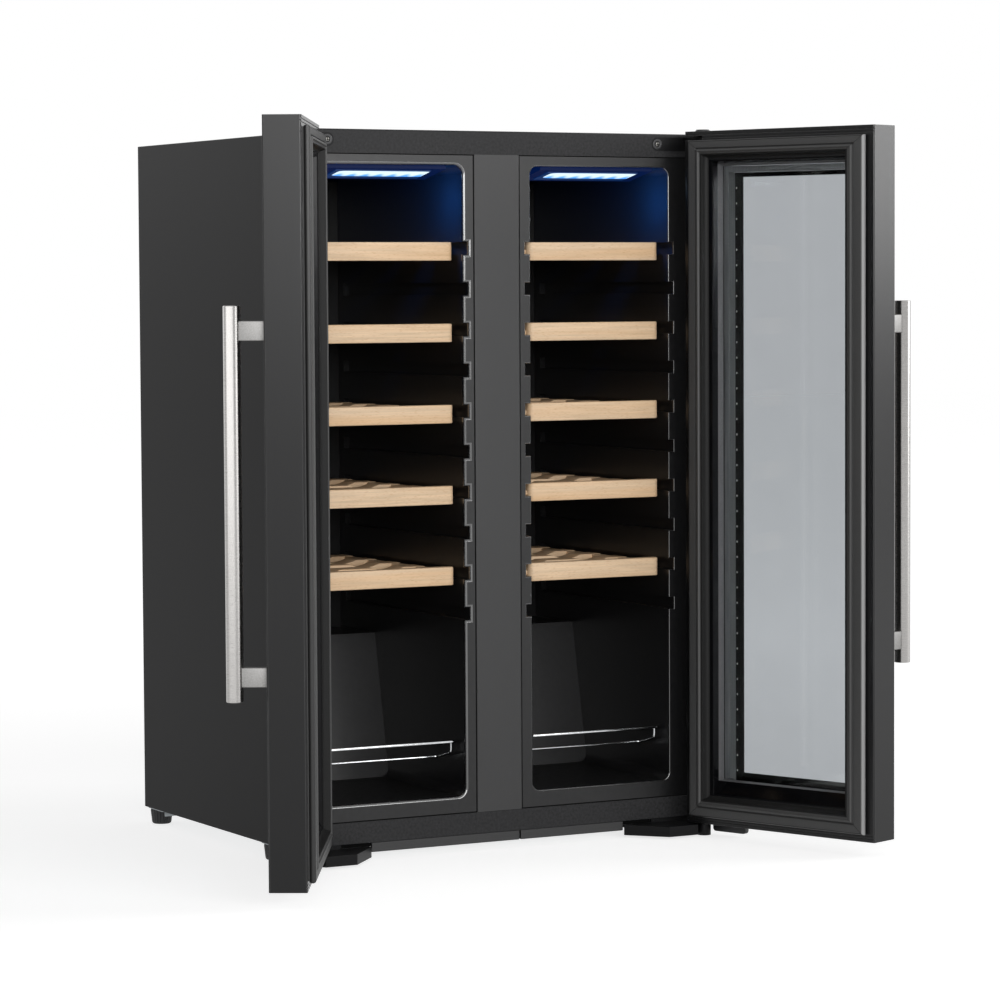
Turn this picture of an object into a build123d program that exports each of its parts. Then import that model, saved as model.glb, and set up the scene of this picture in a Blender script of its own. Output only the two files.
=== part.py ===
"""Free-standing two-door wine cooler with two cooling zones side by side.

Frame: +Z up, front towards -Y, origin on the floor at the centre of the four feet.
All sizes are in millimetres. The doors stand open, as the cooler is shown in use.
"""

import os
from math import cos, radians, sin

from build123d import *

os.makedirs("parts", exist_ok=True)

# Cabinet
CABINET_WIDTH = 544.0
BODY_DEPTH = 406.0
PANEL_HEIGHT = 800.0
SHEET = 1.0
PANEL_RETURN = 14.0
BOTTOM_RETURN = 10.0
SIDE_WALL = 43.0
MULLION_WIDTH = 88.0
FLOOR_WALL = 45.0
CEILING_WALL = 32.5
BACK_WALL = 46.0
REAR_RIB = 3.0
REAR_RIB_WIDTH = 12.0
REAR_RIB_PITCH = 130.0

# Feet
FOOT_SIDE_INSET = 16.0
FOOT_BACK_INSET = 14.0
FOOT_SETBACK = 64.0
FOOT_HEIGHT = 20.0
FOOT_RADIUS = 13.5
FOOT_NECK_RADIUS = 11.5
FOOT_RIM = 6.0
FOOT_STEM_RADIUS = 4.0
FOOT_STEM = 14.0
FOOT_GRIPS = 16
FOOT_GRIP_WIDTH = 2.4
FOOT_GRIP_DEPTH = 1.2

# Front trim
STRIP_DEPTH = 20.0
TOP_STRIP_HEIGHT = 27.0
STRIP_RISE = 7.0
BOTTOM_STRIP_HEIGHT = 25.0
MULLION_COVER_WIDTH = 58.6
TRIM_THICKNESS = 3.2
FLANGE_STEP = 0.8
KICK_HEIGHT = 11.0
KICK_THICKNESS = 3.0
KICK_SPLIT_X = 28.0
KICK_SPLIT = 2.0

# Liners and runner slots
LINER_WALL = 2.0
LINER_CORNER = 10.0
STEP_FOOT = 127.0
STEP_LEAN = 35.0
STEP_CLEAR = 30.0
SLOT_HEIGHT = 14.0
SLOT_DEPTH = 7.0
SLOT_PITCH = 46.5
SLOT_CLEAR = 2.0
TOP_SHELF_DROP = 87.0
LOWER_BAY = 240.0

# Shelves
RAIL_GAP = 5.0
RAIL_HEIGHT = 21.0
RAIL_THICKNESS = 14.0
RAIL_SETBACK = 14.0
RAIL_ROUND = 7.0
SHELF_BACK_GAP = 15.5
SIDE_BAR = 12.0
TONGUE_HEIGHT = 5.0
TONGUE_REACH = 5.5
TONGUE_LENGTH = 107.0
TENON_REACH = 1.6
SLAT_COUNT = 5
SLAT_WIDTH = 30.0
SLAT_THICKNESS = 10.0
CRADLE_RADIUS = 45.0
CRADLE_DEPTH = 4.0
CRADLE_PITCH = 82.0
SEAT_GAP = 0.3

# Doors
DOOR_GAP = 4.0
DOOR_THICKNESS = 41.0
DOOR_OVERHANG = 2.0
DOOR_DROP = 3.0
DOOR_EDGE = 1.5
GROOVE_WIDTH = 1.2
GROOVE_DEPTH = 1.0
GROOVE_PITCH = 3.5
GASKET_GAP = 10.5
GASKET_FREE = 0.5
GASKET_INSET = 10.5
GASKET_WIDTH = 30.0
GASKET_LIP_WIDTH = 10.5
GASKET_WEB = 6.0
GASKET_RIBS = 2
GASKET_RIB_WIDTH = 4.0
GASKET_RIB_GAP = 3.0
GASKET_RIB_DROP = 1.2
HINGE_INSET_X = 13.0
HINGE_INSET_Y = 18.0
FRAME_WIDTH = 34.0
GLASS_LIP = 2.0
GLASS_LIP_WIDTH = 6.0
GLASS = 4.0
GLASS_FIT = 0.3
SPACER_DEPTH = 12.0
SPACER_INSET = 7.0
SPACER_WIDTH = 7.0
REVEAL_NEAR_INSET = 43.5
REVEAL_SIDE_INSET = 48.0
REVEAL_TOP_INSET = 51.0
REVEAL_BOTTOM_INSET = 58.0
DOOR_OPEN = {"left": 119.6, "right": 110.8}

# Handles
HANDLE_LENGTH = 415.0
HANDLE_RADIUS = 9.25
HANDLE_STANDOFF = 34.4
HANDLE_EDGE = 14.0
HANDLE_BOTTOM = 196.4
POST_INSET = 26.3
POST_HEIGHT = 20.5
POST_WIDTH = 10.0

# Hinges
PIN_RADIUS = 4.0
PIN_CLEAR = 0.15
BUSH_RADIUS = 7.0
BUSH_LENGTH = 15.0
TOP_ARM = 4.0
TOP_ARM_HALF = 9.0
TOP_ARM_DROP = 4.0
ARM_SLOT = 26.0
ARM_CLEAR = 0.6
TOP_TAB = 3.0
TOP_TAB_HEIGHT = 16.0
TOP_TAB_REACH = 44.5
CAP_RADIUS = 8.5
CAP_HEIGHT = 2.5
HINGE_UNDER_GAP = 1.5
LOW_PLATE = 3.0
LOW_SKIRT = 12.0
LOW_SKIRT_WALL = 2.5
LOW_FRONT = 41.0
LOW_REACH = 93.0
LOW_SLANT = 38.0
LOW_MOUNT_DEPTH = 40.0
LOW_BOSS_RADIUS = 8.0
LOW_BOSS_DROP = 14.5
LEAF_NEAR = 15.0
LEAF_THICKNESS = 6.0
LEAF_START = 2.0
LEAF_LENGTH = 48.0
LEAF_HEIGHT = 13.0
LEAF_ROUND = 4.0

# Lamps
LAMP_WIDTH = 150.0
LAMP_FRONT = 8.0
LAMP_DEPTH = 52.0
LAMP_NOSE = 4.0
LAMP_DROP = 14.5
LENS_WIDTH = 120.0
LENS_DEPTH = 36.0
LENS_THICKNESS = 3.0
LENS_PROUD = 1.0

# Bottle retainers
WIRE_RADIUS = 1.75
CROSS_RADIUS = 1.5
WIRE_BEND = 5.0
WIRE_FACETS = 8
WIRE_HEIGHT = 62.0
WIRE_SETBACK = 14.0
WIRE_SIDE = 7.0
WIRE_ARM = 48.0
WIRE_FALL = 8.0
CROSS_SETBACK = 10.0
CROSS_DROP = 14.0
CROSS_ARM = 34.0

# Cold air side
AIR_PANEL_GAP = 32.0
AIR_PANEL = 2.5
AIR_FIT = 0.3
FAN_RADIUS = 38.0
FAN_CLEAR = 3.0
FAN_HEIGHT = 405.0
FAN_DEPTH = 12.0
FAN_HUB = 16.0
FAN_BLADES = 7
FAN_BLADE_THICKNESS = 1.6
FAN_BLADE_PITCH = 35.0
FAN_SHROUD_WALL = 2.0
FAN_STRUT = 5.0
FAN_STRUT_DEPTH = 3.0
FAN_SHAFT = 2.5
FAN_BACK = 2.0
VENT_COUNT = 6
VENT_WIDTH = 90.0
VENT_HEIGHT = 5.0
VENT_PITCH = 14.0
VENT_BOTTOM = 30.0
COLD_PLATE_WIDTH = 150.0
COLD_PLATE_HEIGHT = 190.0
COLD_PLATE_BOTTOM = 120.0
COLD_PLATE = 3.0
COLD_FIN = 12.0
COLD_FIN_THICKNESS = 1.2
COLD_FINS = 9

# Compressor bay
BAY_DEPTH = 150.0
BAY_HEIGHT = 185.0
BAY_PLATE = 2.0
PLATE_LIFT = 8.0
COMPRESSOR_X = -120.0
COMPRESSOR_RADIUS = 52.0
COMPRESSOR_HEIGHT = 118.0
COMPRESSOR_DOME = 22.0
COMPRESSOR_SEAM = 3.0
COMPRESSOR_BACK = 66.0
COMPRESSOR_FOOT_X = 150.0
COMPRESSOR_FOOT_Y = 80.0
COMPRESSOR_FOOT = 2.5
MOUNT_RADIUS = 9.0
MOUNT_HEIGHT = 9.0
MOUNT_INSET = 11.0
TRAY_WALL = 1.5
TRAY_HEIGHT = 16.0
TRAY_WIDTH = 110.0
TRAY_DEPTH = 84.0
COIL_PASSES = 6
COIL_PITCH = 24.0
COIL_RADIUS = 2.5
COIL_START_X = 0.0
COIL_LENGTH = 170.0
COIL_BOTTOM = 40.0
BOX_X = 90.0
BOX_WIDTH = 110.0
BOX_DEPTH = 60.0
BOX_HEIGHT = 45.0
BOX_BACK = 75.0
INLET_X = 205.0
INLET_Z = 90.0
INLET_WIDTH = 34.0
INLET_HEIGHT = 26.0
INLET_DEPTH = 24.0
INLET_FLANGE = 4.0
INLET_FLANGE_ROUND = 3.0
INLET_WALL = 4.0
SOCKET_ROUND = 4.0
GRILLE_SLOTS = 9
GRILLE_SLOT_WIDTH = 26.0
GRILLE_SLOT_HEIGHT = 5.0
GRILLE_PITCH_X = 40.0
GRILLE_PITCH_Z = 22.0
GRILLE_ROWS = 4
GRILLE_X = -30.0

# Worked-out places
SIDES = {"left": -1, "right": 1}
HALF = CABINET_WIDTH / 2
FOOT_PITCH_X = CABINET_WIDTH - 2 * FOOT_SIDE_INSET
FOOT_PITCH_Y = BODY_DEPTH - FOOT_SETBACK - FOOT_BACK_INSET
FRONT = -FOOT_PITCH_Y / 2 - FOOT_SETBACK
BACK = FRONT + BODY_DEPTH
BASE = FOOT_HEIGHT
TOP = BASE + PANEL_HEIGHT
INSIDE = HALF - SHEET
REAR_SKIN = BACK - REAR_RIB - SHEET
FLANGE_FRONT = FRONT + FLANGE_STEP
FLANGE_BACK = FRONT + TRIM_THICKNESS
STRIP_BACK = FRONT + STRIP_DEPTH
STRIP_TOP = TOP + STRIP_RISE
TOP_SEAM = STRIP_TOP - TOP_STRIP_HEIGHT
BOTTOM_SEAM = BASE + BOTTOM_STRIP_HEIGHT
ZONE_WIDTH = HALF - MULLION_WIDTH / 2 - SIDE_WALL
ZONE_X = MULLION_WIDTH / 2 + ZONE_WIDTH / 2
ZONE_FLOOR = BASE + FLOOR_WALL
ZONE_CEILING = TOP - CEILING_WALL
LINER_BACK = BACK - BACK_WALL
PAN_Z = BASE + SHEET
BAY_FRONT = BACK - BAY_DEPTH
BAY_TOP = BASE + BAY_HEIGHT
STEP_TOP = BAY_TOP + STEP_CLEAR
STEP_Y = LINER_BACK - STEP_FOOT - STEP_LEAN
SHELF_TOP = ZONE_CEILING - TOP_SHELF_DROP
SHELF_PITCH = 2 * SLOT_PITCH
SHELF_COUNT = int((SHELF_TOP - ZONE_FLOOR - LOWER_BAY) / SHELF_PITCH) + 1
AIR_PANEL_BACK = LINER_BACK - AIR_PANEL_GAP
SHELF_BACK = AIR_PANEL_BACK - AIR_PANEL - SHELF_BACK_GAP
DOOR_WIDTH = (CABINET_WIDTH - DOOR_GAP) / 2
DOOR_BOTTOM = BASE - DOOR_DROP
DOOR_TOP = STRIP_TOP + DOOR_OVERHANG
AXIS_X = HALF - HINGE_INSET_X
AXIS_Y = FRONT - GASKET_GAP - HINGE_INSET_Y
DOOR_END = -HINGE_INSET_X
DOOR_FREE = DOOR_WIDTH - HINGE_INSET_X
DOOR_INNER = -HINGE_INSET_Y
DOOR_OUTER = DOOR_THICKNESS - HINGE_INSET_Y
PANE_OUTER = DOOR_OUTER - GLASS_LIP
PANE_INNER = PANE_OUTER - GLASS - SPACER_DEPTH
ARM_TOP = STRIP_TOP - TOP_ARM_DROP
ARM_BOTTOM = ARM_TOP - TOP_ARM
LOW_TOP = DOOR_BOTTOM - HINGE_UNDER_GAP
LOW_BOTTOM = LOW_TOP - LOW_SKIRT


def block(low, high, mode=Mode.ADD):
    """A box between two opposite corners, in the current plane."""
    middle = tuple((a + b) / 2 for a, b in zip(low, high))
    size = tuple(abs(b - a) for a, b in zip(low, high))
    with Locations(middle):
        return Box(*size, mode=mode)


def across(hand, x0, x1):
    """Two x values on the left (-1) or right (1) side, in rising order."""
    return sorted((hand * x0, hand * x1))


def side_block(hand, low, high, mode=Mode.ADD):
    """A box whose x values are mirrored to one side of the cabinet."""
    x0, x1 = across(hand, low[0], high[0])
    return block((x0, *low[1:]), (x1, *high[1:]), mode)


def save(builder, name):
    """Label a finished piece and write it."""
    builder.part.label = name
    export_step(builder.part, f"parts/{name}.step")


def slot_tops():
    """Top height of each runner slot, from the top one down."""
    return [SHELF_TOP - n * SLOT_PITCH for n in range(2 * SHELF_COUNT)]


def cavity(hand, grow, front):
    """The space inside one liner, grown by a wall, with its rear step and runner slots."""
    middle_z = (ZONE_FLOOR + ZONE_CEILING) / 2
    height = ZONE_CEILING - ZONE_FLOOR
    with BuildPart() as space:
        with BuildSketch(Plane.XZ.offset(-front)):
            with Locations((hand * ZONE_X, middle_z)):
                RectangleRounded(ZONE_WIDTH + 2 * grow, height + 2 * grow, LINER_CORNER + grow)
        extrude(amount=front - LINER_BACK - grow)
        slope = STEP_LEAN / (STEP_TOP - ZONE_FLOOR)
        with BuildSketch(Plane.YZ.offset(hand * ZONE_X)):
            with BuildLine():
                Polyline(
                    (STEP_Y - slope * ZONE_FLOOR, 0),
                    (STEP_Y + STEP_LEAN, STEP_TOP),
                    (BACK, STEP_TOP),
                    (BACK, 0),
                    close=True,
                )
            make_face()
            offset(amount=-grow, kind=Kind.INTERSECTION, mode=Mode.REPLACE)
        extrude(amount=ZONE_WIDTH, both=True, mode=Mode.SUBTRACT)
        reach = ZONE_WIDTH / 2 + SLOT_DEPTH + grow
        for top in slot_tops():
            block(
                (hand * ZONE_X - reach, front, top - SLOT_HEIGHT - grow),
                (hand * ZONE_X + reach, SHELF_BACK + SLOT_CLEAR + grow, top + grow),
            )
    return space.part


# Painted steel side panels, folded in at the front and under the base
for side, hand in SIDES.items():
    with BuildPart() as side_panel:
        side_block(hand, (INSIDE, FLANGE_FRONT, BASE), (HALF, BACK, TOP))
        side_block(
            hand,
            (HALF - PANEL_RETURN, FLANGE_FRONT, BOTTOM_SEAM),
            (HALF, FLANGE_FRONT + SHEET, TOP_SEAM),
        )
        side_block(hand, (HALF - BOTTOM_RETURN, STRIP_BACK, BASE), (HALF, BACK, PAN_Z))
    save(side_panel, f"side_panel_{side}")

# Top sheet between the side panels
with BuildPart() as top_panel:
    block((-INSIDE, STRIP_BACK, TOP - SHEET), (INSIDE, REAR_SKIN + SHEET, TOP))
    fold = STRIP_BACK + SHEET
    block((-INSIDE, STRIP_BACK, TOP - BOTTOM_RETURN), (INSIDE, fold, TOP))
save(top_panel, "top_panel")

# Back sheet above the compressor bay, with pressed upright ribs
with BuildPart() as back_panel:
    block((-INSIDE, REAR_SKIN, BAY_TOP + SHEET), (INSIDE, REAR_SKIN + SHEET, TOP - SHEET))
    rib_low = BAY_TOP + REAR_RIB_PITCH / 2
    rib_high = TOP - REAR_RIB_PITCH / 2
    with BuildSketch(Plane.XZ.offset(-REAR_SKIN - SHEET)):
        with GridLocations(REAR_RIB_PITCH, 0, 3, 1):
            with Locations((0, (rib_low + rib_high) / 2)):
                SlotOverall(rib_high - rib_low, REAR_RIB_WIDTH, rotation=90)
    extrude(amount=-REAR_RIB, taper=20)
save(back_panel, "back_panel")

# Base pan: floor sheet, bay wall and bay roof in one folded piece
with BuildPart() as base_pan:
    with BuildSketch(Plane.YZ.offset(-INSIDE)):
        with BuildLine():
            Polyline(
                (STRIP_BACK, PAN_Z),
                (BAY_FRONT, PAN_Z),
                (BAY_FRONT, BAY_TOP),
                (REAR_SKIN + SHEET, BAY_TOP),
                (REAR_SKIN + SHEET, BAY_TOP + SHEET),
                (BAY_FRONT - SHEET, BAY_TOP + SHEET),
                (BAY_FRONT - SHEET, PAN_Z + SHEET),
                (STRIP_BACK, PAN_Z + SHEET),
                close=True,
            )
        make_face()
    extrude(amount=2 * INSIDE)
    with Locations((0, -FOOT_PITCH_Y / 2, PAN_Z)):
        with GridLocations(FOOT_PITCH_X, 0, 2, 1):
            Cylinder(FOOT_STEM_RADIUS + SEAT_GAP, 4 * SHEET, mode=Mode.SUBTRACT)
save(base_pan, "base_pan")

# Cross plate that carries the compressor, in the bay
with BuildPart() as compressor_plate:
    block((-INSIDE, BAY_FRONT, PAN_Z), (INSIDE, REAR_SKIN, PAN_Z + BAY_PLATE))
    shelf_front = REAR_SKIN - COMPRESSOR_BACK - COMPRESSOR_FOOT_Y / 2
    shelf_back = shelf_front + COMPRESSOR_FOOT_Y
    block(
        (COMPRESSOR_X - COMPRESSOR_FOOT_X / 2, shelf_front, PAN_Z),
        (COMPRESSOR_X + COMPRESSOR_FOOT_X / 2, shelf_back, PAN_Z + PLATE_LIFT),
    )
    with Locations((0, FOOT_PITCH_Y / 2, PAN_Z)):
        with GridLocations(FOOT_PITCH_X, 0, 2, 1):
            Cylinder(FOOT_STEM_RADIUS + SEAT_GAP, 4 * BAY_PLATE, mode=Mode.SUBTRACT)
save(compressor_plate, "compressor_plate")

# Vacuum-formed liners: one sheet with a flange, a rear step and runner slots
for side, hand in SIDES.items():
    with BuildPart() as liner:
        add(cavity(hand, LINER_WALL, FLANGE_FRONT))
        side_block(
            hand,
            (MULLION_COVER_WIDTH / 2, FLANGE_FRONT, BOTTOM_SEAM),
            (HALF - PANEL_RETURN, FLANGE_BACK, TOP_SEAM),
        )
        add(cavity(hand, 0, FRONT - FLANGE_STEP), mode=Mode.SUBTRACT)
    save(liner, f"liner_{side}")

# Foamed-in insulation between the sheet metal and the liners
with BuildPart() as insulation_foam:
    block((-INSIDE, FLANGE_BACK, PAN_Z + SHEET), (INSIDE, REAR_SKIN, TOP - SHEET))
    block((-INSIDE, FLANGE_BACK, TOP_SEAM), (INSIDE, fold, TOP), mode=Mode.SUBTRACT)
    block((-INSIDE, FLANGE_BACK, BASE), (INSIDE, STRIP_BACK, BOTTOM_SEAM), mode=Mode.SUBTRACT)
    block((-INSIDE, BAY_FRONT - SHEET, BASE), (INSIDE, BACK, BAY_TOP + SHEET), mode=Mode.SUBTRACT)
    for hand in SIDES.values():
        add(cavity(hand, LINER_WALL, FLANGE_FRONT), mode=Mode.SUBTRACT)
    with Locations((0, -FOOT_PITCH_Y / 2, PAN_Z)):
        with GridLocations(FOOT_PITCH_X, 0, 2, 1):
            Cylinder(FOOT_STEM_RADIUS + SEAT_GAP, 2 * FOOT_STEM, mode=Mode.SUBTRACT)
save(insulation_foam, "insulation_foam")

# Front trim: top strip with a recess for each top hinge, bottom strip, mullion cover, kick plates
TAB_X = AXIS_X - TOP_TAB_REACH
TAB_MIDDLE = ARM_TOP - TOP_TAB_HEIGHT / 2


def hinge_tab(hand, depth, grow=0.0, mode=Mode.ADD):
    """The round-ended tab of a top hinge, let into the face of the top strip."""
    radius = TOP_TAB_HEIGHT / 2 + grow
    with Locations(Location((hand * TAB_X, FRONT + depth / 2, TAB_MIDDLE), (90, 0, 0))):
        Cylinder(radius, depth, mode=mode)
    side_block(
        hand,
        (TAB_X, FRONT, TAB_MIDDLE - radius),
        (AXIS_X + TOP_ARM_HALF + grow, FRONT + depth, TAB_MIDDLE + radius),
        mode,
    )


with BuildPart() as front_top_strip:
    block((-INSIDE, FRONT, TOP_SEAM), (INSIDE, STRIP_BACK, STRIP_TOP))
    fillet(front_top_strip.edges().filter_by(Axis.X).group_by(Axis.Z)[-1], STRIP_RISE / 3)
    for hand in SIDES.values():
        hinge_tab(hand, TOP_TAB, mode=Mode.SUBTRACT)
save(front_top_strip, "front_top_strip")

with BuildPart() as front_bottom_strip:
    block((-INSIDE, FRONT, BASE), (INSIDE, STRIP_BACK, BOTTOM_SEAM))
save(front_bottom_strip, "front_bottom_strip")

with BuildPart() as mullion_cover:
    cover_half = MULLION_COVER_WIDTH / 2
    block((-cover_half, FRONT, BOTTOM_SEAM), (cover_half, FLANGE_BACK, TOP_SEAM))
    fillet(mullion_cover.edges().filter_by(Axis.Z).group_by(Axis.Y)[0], FLANGE_STEP)
save(mullion_cover, "mullion_cover")

with BuildPart() as kick_plates:
    kick_end = AXIS_X - LOW_REACH - KICK_SPLIT / 2
    kick_front = FRONT + FLANGE_STEP
    for x0, x1 in ((-kick_end, KICK_SPLIT_X - KICK_SPLIT), (KICK_SPLIT_X, kick_end)):
        block((x0, kick_front, BASE - KICK_HEIGHT), (x1, kick_front + KICK_THICKNESS, BASE))
save(kick_plates, "kick_plates")

# Ceiling lamps: a wedge housing and a lens let into its sloping face
LAMP_Y = FRONT + LAMP_FRONT
lamp_slope = (LAMP_DROP - LAMP_NOSE) / LAMP_DEPTH
LENS_Y = LAMP_Y + LAMP_DEPTH / 2
LENS_Z = ZONE_CEILING - (LAMP_NOSE + LAMP_DROP) / 2


def lens_plane(hand):
    """Plane of a lens, in the middle of the sloping face and facing down to the front."""
    return Plane(
        origin=(hand * ZONE_X, LENS_Y, LENS_Z), x_dir=(1, 0, 0), z_dir=(0, -lamp_slope, -1)
    )


with BuildPart() as lamp_housings:
    for hand in SIDES.values():
        with BuildSketch(Plane.YZ.offset(hand * ZONE_X)):
            with BuildLine():
                Polyline(
                    (LAMP_Y, ZONE_CEILING),
                    (LAMP_Y, ZONE_CEILING - LAMP_NOSE),
                    (LAMP_Y + LAMP_DEPTH, ZONE_CEILING - LAMP_DROP),
                    (LAMP_Y + LAMP_DEPTH, ZONE_CEILING),
                    close=True,
                )
            make_face()
        extrude(amount=LAMP_WIDTH / 2, both=True)
        with BuildSketch(lens_plane(hand)):
            Rectangle(LENS_WIDTH, LENS_DEPTH)
        extrude(amount=-(LENS_THICKNESS - LENS_PROUD), mode=Mode.SUBTRACT)
save(lamp_housings, "lamp_housings")

with BuildPart() as lamp_lenses:
    for hand in SIDES.values():
        with BuildSketch(lens_plane(hand).offset(LENS_PROUD)):
            Rectangle(LENS_WIDTH, LENS_DEPTH)
        extrude(amount=-LENS_THICKNESS)
save(lamp_lenses, "lamp_lenses")

# Rear air panels with the fan mouth, shroud, motor struts and return vents
FAN_Z = STEP_TOP + FAN_HEIGHT
FAN_FRONT = AIR_PANEL_BACK + FAN_BACK
STRUT_FRONT = FAN_FRONT + FAN_DEPTH + FAN_BACK


def fan_plane(hand, y):
    """Plane across a fan's axis, facing the front of the cabinet."""
    return Plane(origin=(hand * ZONE_X, y, FAN_Z), x_dir=(1, 0, 0), z_dir=(0, -1, 0))


for side, hand in SIDES.items():
    mouth = FAN_RADIUS + FAN_CLEAR
    with BuildPart() as air_panel:
        half_panel = ZONE_WIDTH / 2 - AIR_FIT
        block(
            (hand * ZONE_X - half_panel, AIR_PANEL_BACK - AIR_PANEL, STEP_TOP),
            (hand * ZONE_X + half_panel, AIR_PANEL_BACK, ZONE_CEILING - LINER_CORNER),
        )
        with BuildSketch(fan_plane(hand, STRUT_FRONT + FAN_STRUT_DEPTH)):
            Circle(mouth + FAN_SHROUD_WALL)
        extrude(amount=STRUT_FRONT + FAN_STRUT_DEPTH - AIR_PANEL_BACK)
        with BuildSketch(fan_plane(hand, STRUT_FRONT)):
            Circle(mouth)
        extrude(amount=FAN_DEPTH + 4 * FAN_BACK + AIR_PANEL, mode=Mode.SUBTRACT)
        with BuildSketch(fan_plane(hand, STRUT_FRONT + FAN_STRUT_DEPTH)):
            Circle(mouth)
            Circle(FAN_HUB, mode=Mode.SUBTRACT)
            with PolarLocations(0, 3):
                with Locations((mouth / 2, 0)):
                    Rectangle(mouth, FAN_STRUT, mode=Mode.SUBTRACT)
        extrude(amount=FAN_STRUT_DEPTH, mode=Mode.SUBTRACT)
        with BuildSketch(fan_plane(hand, STRUT_FRONT)):
            Circle(FAN_SHAFT)
        extrude(amount=FAN_DEPTH)
        vent_z = STEP_TOP + VENT_BOTTOM
        for n in range(VENT_COUNT):
            z = vent_z + n * VENT_PITCH
            block(
                (hand * ZONE_X - VENT_WIDTH / 2, AIR_PANEL_BACK - AIR_PANEL, z),
                (hand * ZONE_X + VENT_WIDTH / 2, AIR_PANEL_BACK, z + VENT_HEIGHT),
                Mode.SUBTRACT,
            )
    save(air_panel, f"air_panel_{side}")

    with BuildPart() as fan_rotor:
        with BuildSketch(fan_plane(hand, FAN_FRONT + FAN_DEPTH)):
            Circle(FAN_HUB)
        extrude(amount=FAN_DEPTH)
        blade_length = FAN_RADIUS - FAN_HUB / 2
        blade_chord = (FAN_DEPTH - FAN_BLADE_THICKNESS) / sin(radians(FAN_BLADE_PITCH))
        with Locations(fan_plane(hand, FAN_FRONT + FAN_DEPTH / 2)):
            with PolarLocations(FAN_RADIUS - blade_length / 2, FAN_BLADES):
                with Locations(Location((0, 0, 0), (FAN_BLADE_PITCH, 0, 0))):
                    Box(blade_length, blade_chord - FAN_BLADE_THICKNESS, FAN_BLADE_THICKNESS)
        with BuildSketch(fan_plane(hand, FAN_FRONT + FAN_DEPTH)):
            Circle(FAN_SHAFT + PIN_CLEAR)
        extrude(amount=FAN_DEPTH - FAN_BACK, mode=Mode.SUBTRACT)
    save(fan_rotor, f"fan_rotor_{side}")

# Finned cold plates on the back walls of the liners
with BuildPart() as cold_plates:
    for hand in SIDES.values():
        x0 = hand * ZONE_X - COLD_PLATE_WIDTH / 2
        x1 = hand * ZONE_X + COLD_PLATE_WIDTH / 2
        z0 = STEP_TOP + COLD_PLATE_BOTTOM
        block((x0, LINER_BACK - COLD_PLATE, z0), (x1, LINER_BACK, z0 + COLD_PLATE_HEIGHT))
        fin_pitch = (COLD_PLATE_WIDTH - COLD_FIN_THICKNESS) / (COLD_FINS - 1)
        for n in range(COLD_FINS):
            x = x0 + n * fin_pitch
            block(
                (x, LINER_BACK - COLD_PLATE - COLD_FIN, z0),
                (x + COLD_FIN_THICKNESS, LINER_BACK - COLD_PLATE, z0 + COLD_PLATE_HEIGHT),
            )
save(cold_plates, "cold_plates")

# Chrome wire bottle retainers, hooked into the liner walls
with BuildPart() as wire_racks:
    for hand in SIDES.values():
        wall = ZONE_WIDTH / 2
        arm = wall - WIRE_SIDE
        y0 = FRONT + WIRE_SETBACK
        z0 = ZONE_FLOOR + WIRE_HEIGHT
        upper = [(arm, y0, z0), (arm, y0 + WIRE_ARM, z0 - WIRE_FALL)]
        upper.append((wall, y0 + WIRE_ARM, z0 - WIRE_FALL))
        fall = WIRE_FALL * CROSS_SETBACK / WIRE_ARM
        lower = [(arm, y0 + CROSS_SETBACK + CROSS_ARM, z0 - CROSS_DROP - WIRE_FALL)]
        lower.append((arm, y0 + CROSS_SETBACK, z0 - CROSS_DROP))
        lower.append((arm, y0 + CROSS_SETBACK, z0 - fall))
        for bend, wire_radius in ((upper, WIRE_RADIUS), (lower, CROSS_RADIUS)):
            right = [(hand * ZONE_X + x, y, z) for x, y, z in bend]
            left = [(hand * ZONE_X - x, y, z) for x, y, z in reversed(bend)]
            with BuildLine() as route:
                FilletPolyline(*left, *right, radius=WIRE_BEND)
            with BuildSketch(Plane(origin=route.line @ 0, z_dir=route.line % 0)):
                RegularPolygon(wire_radius, WIRE_FACETS)
            sweep(path=route.line)
save(wire_racks, "wire_racks")

# Compressor with its foot plate, rubber mounts and drip tray
PLATE_TOP = PAN_Z + PLATE_LIFT
COMPRESSOR_Y = REAR_SKIN - COMPRESSOR_BACK
COMPRESSOR_Z = PLATE_TOP + MOUNT_HEIGHT + COMPRESSOR_FOOT
MOUNT_SPACING = (COMPRESSOR_FOOT_X - 2 * MOUNT_INSET, COMPRESSOR_FOOT_Y - 2 * MOUNT_INSET)
with BuildPart() as compressor:
    with Locations((COMPRESSOR_X, COMPRESSOR_Y, COMPRESSOR_Z)):
        up = (Align.CENTER, Align.CENTER, Align.MIN)
        Cylinder(COMPRESSOR_RADIUS, COMPRESSOR_HEIGHT, align=up)
    chamfer(compressor.edges().filter_by(GeomType.CIRCLE).group_by(Axis.Z)[-1], COMPRESSOR_DOME)
    with Locations((COMPRESSOR_X, COMPRESSOR_Y, COMPRESSOR_Z + COMPRESSOR_HEIGHT / 2)):
        Cylinder(COMPRESSOR_RADIUS + COMPRESSOR_SEAM, COMPRESSOR_SEAM)
    with Locations((COMPRESSOR_X, COMPRESSOR_Y, COMPRESSOR_Z)):
        down = (Align.CENTER, Align.CENTER, Align.MAX)
        Box(COMPRESSOR_FOOT_X, COMPRESSOR_FOOT_Y, COMPRESSOR_FOOT, align=down)
save(compressor, "compressor")

with BuildPart() as compressor_mounts:
    with Locations((COMPRESSOR_X, COMPRESSOR_Y, PLATE_TOP)):
        with GridLocations(*MOUNT_SPACING, 2, 2):
            Cylinder(MOUNT_RADIUS, MOUNT_HEIGHT, align=up)
save(compressor_mounts, "compressor_mounts")

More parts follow.
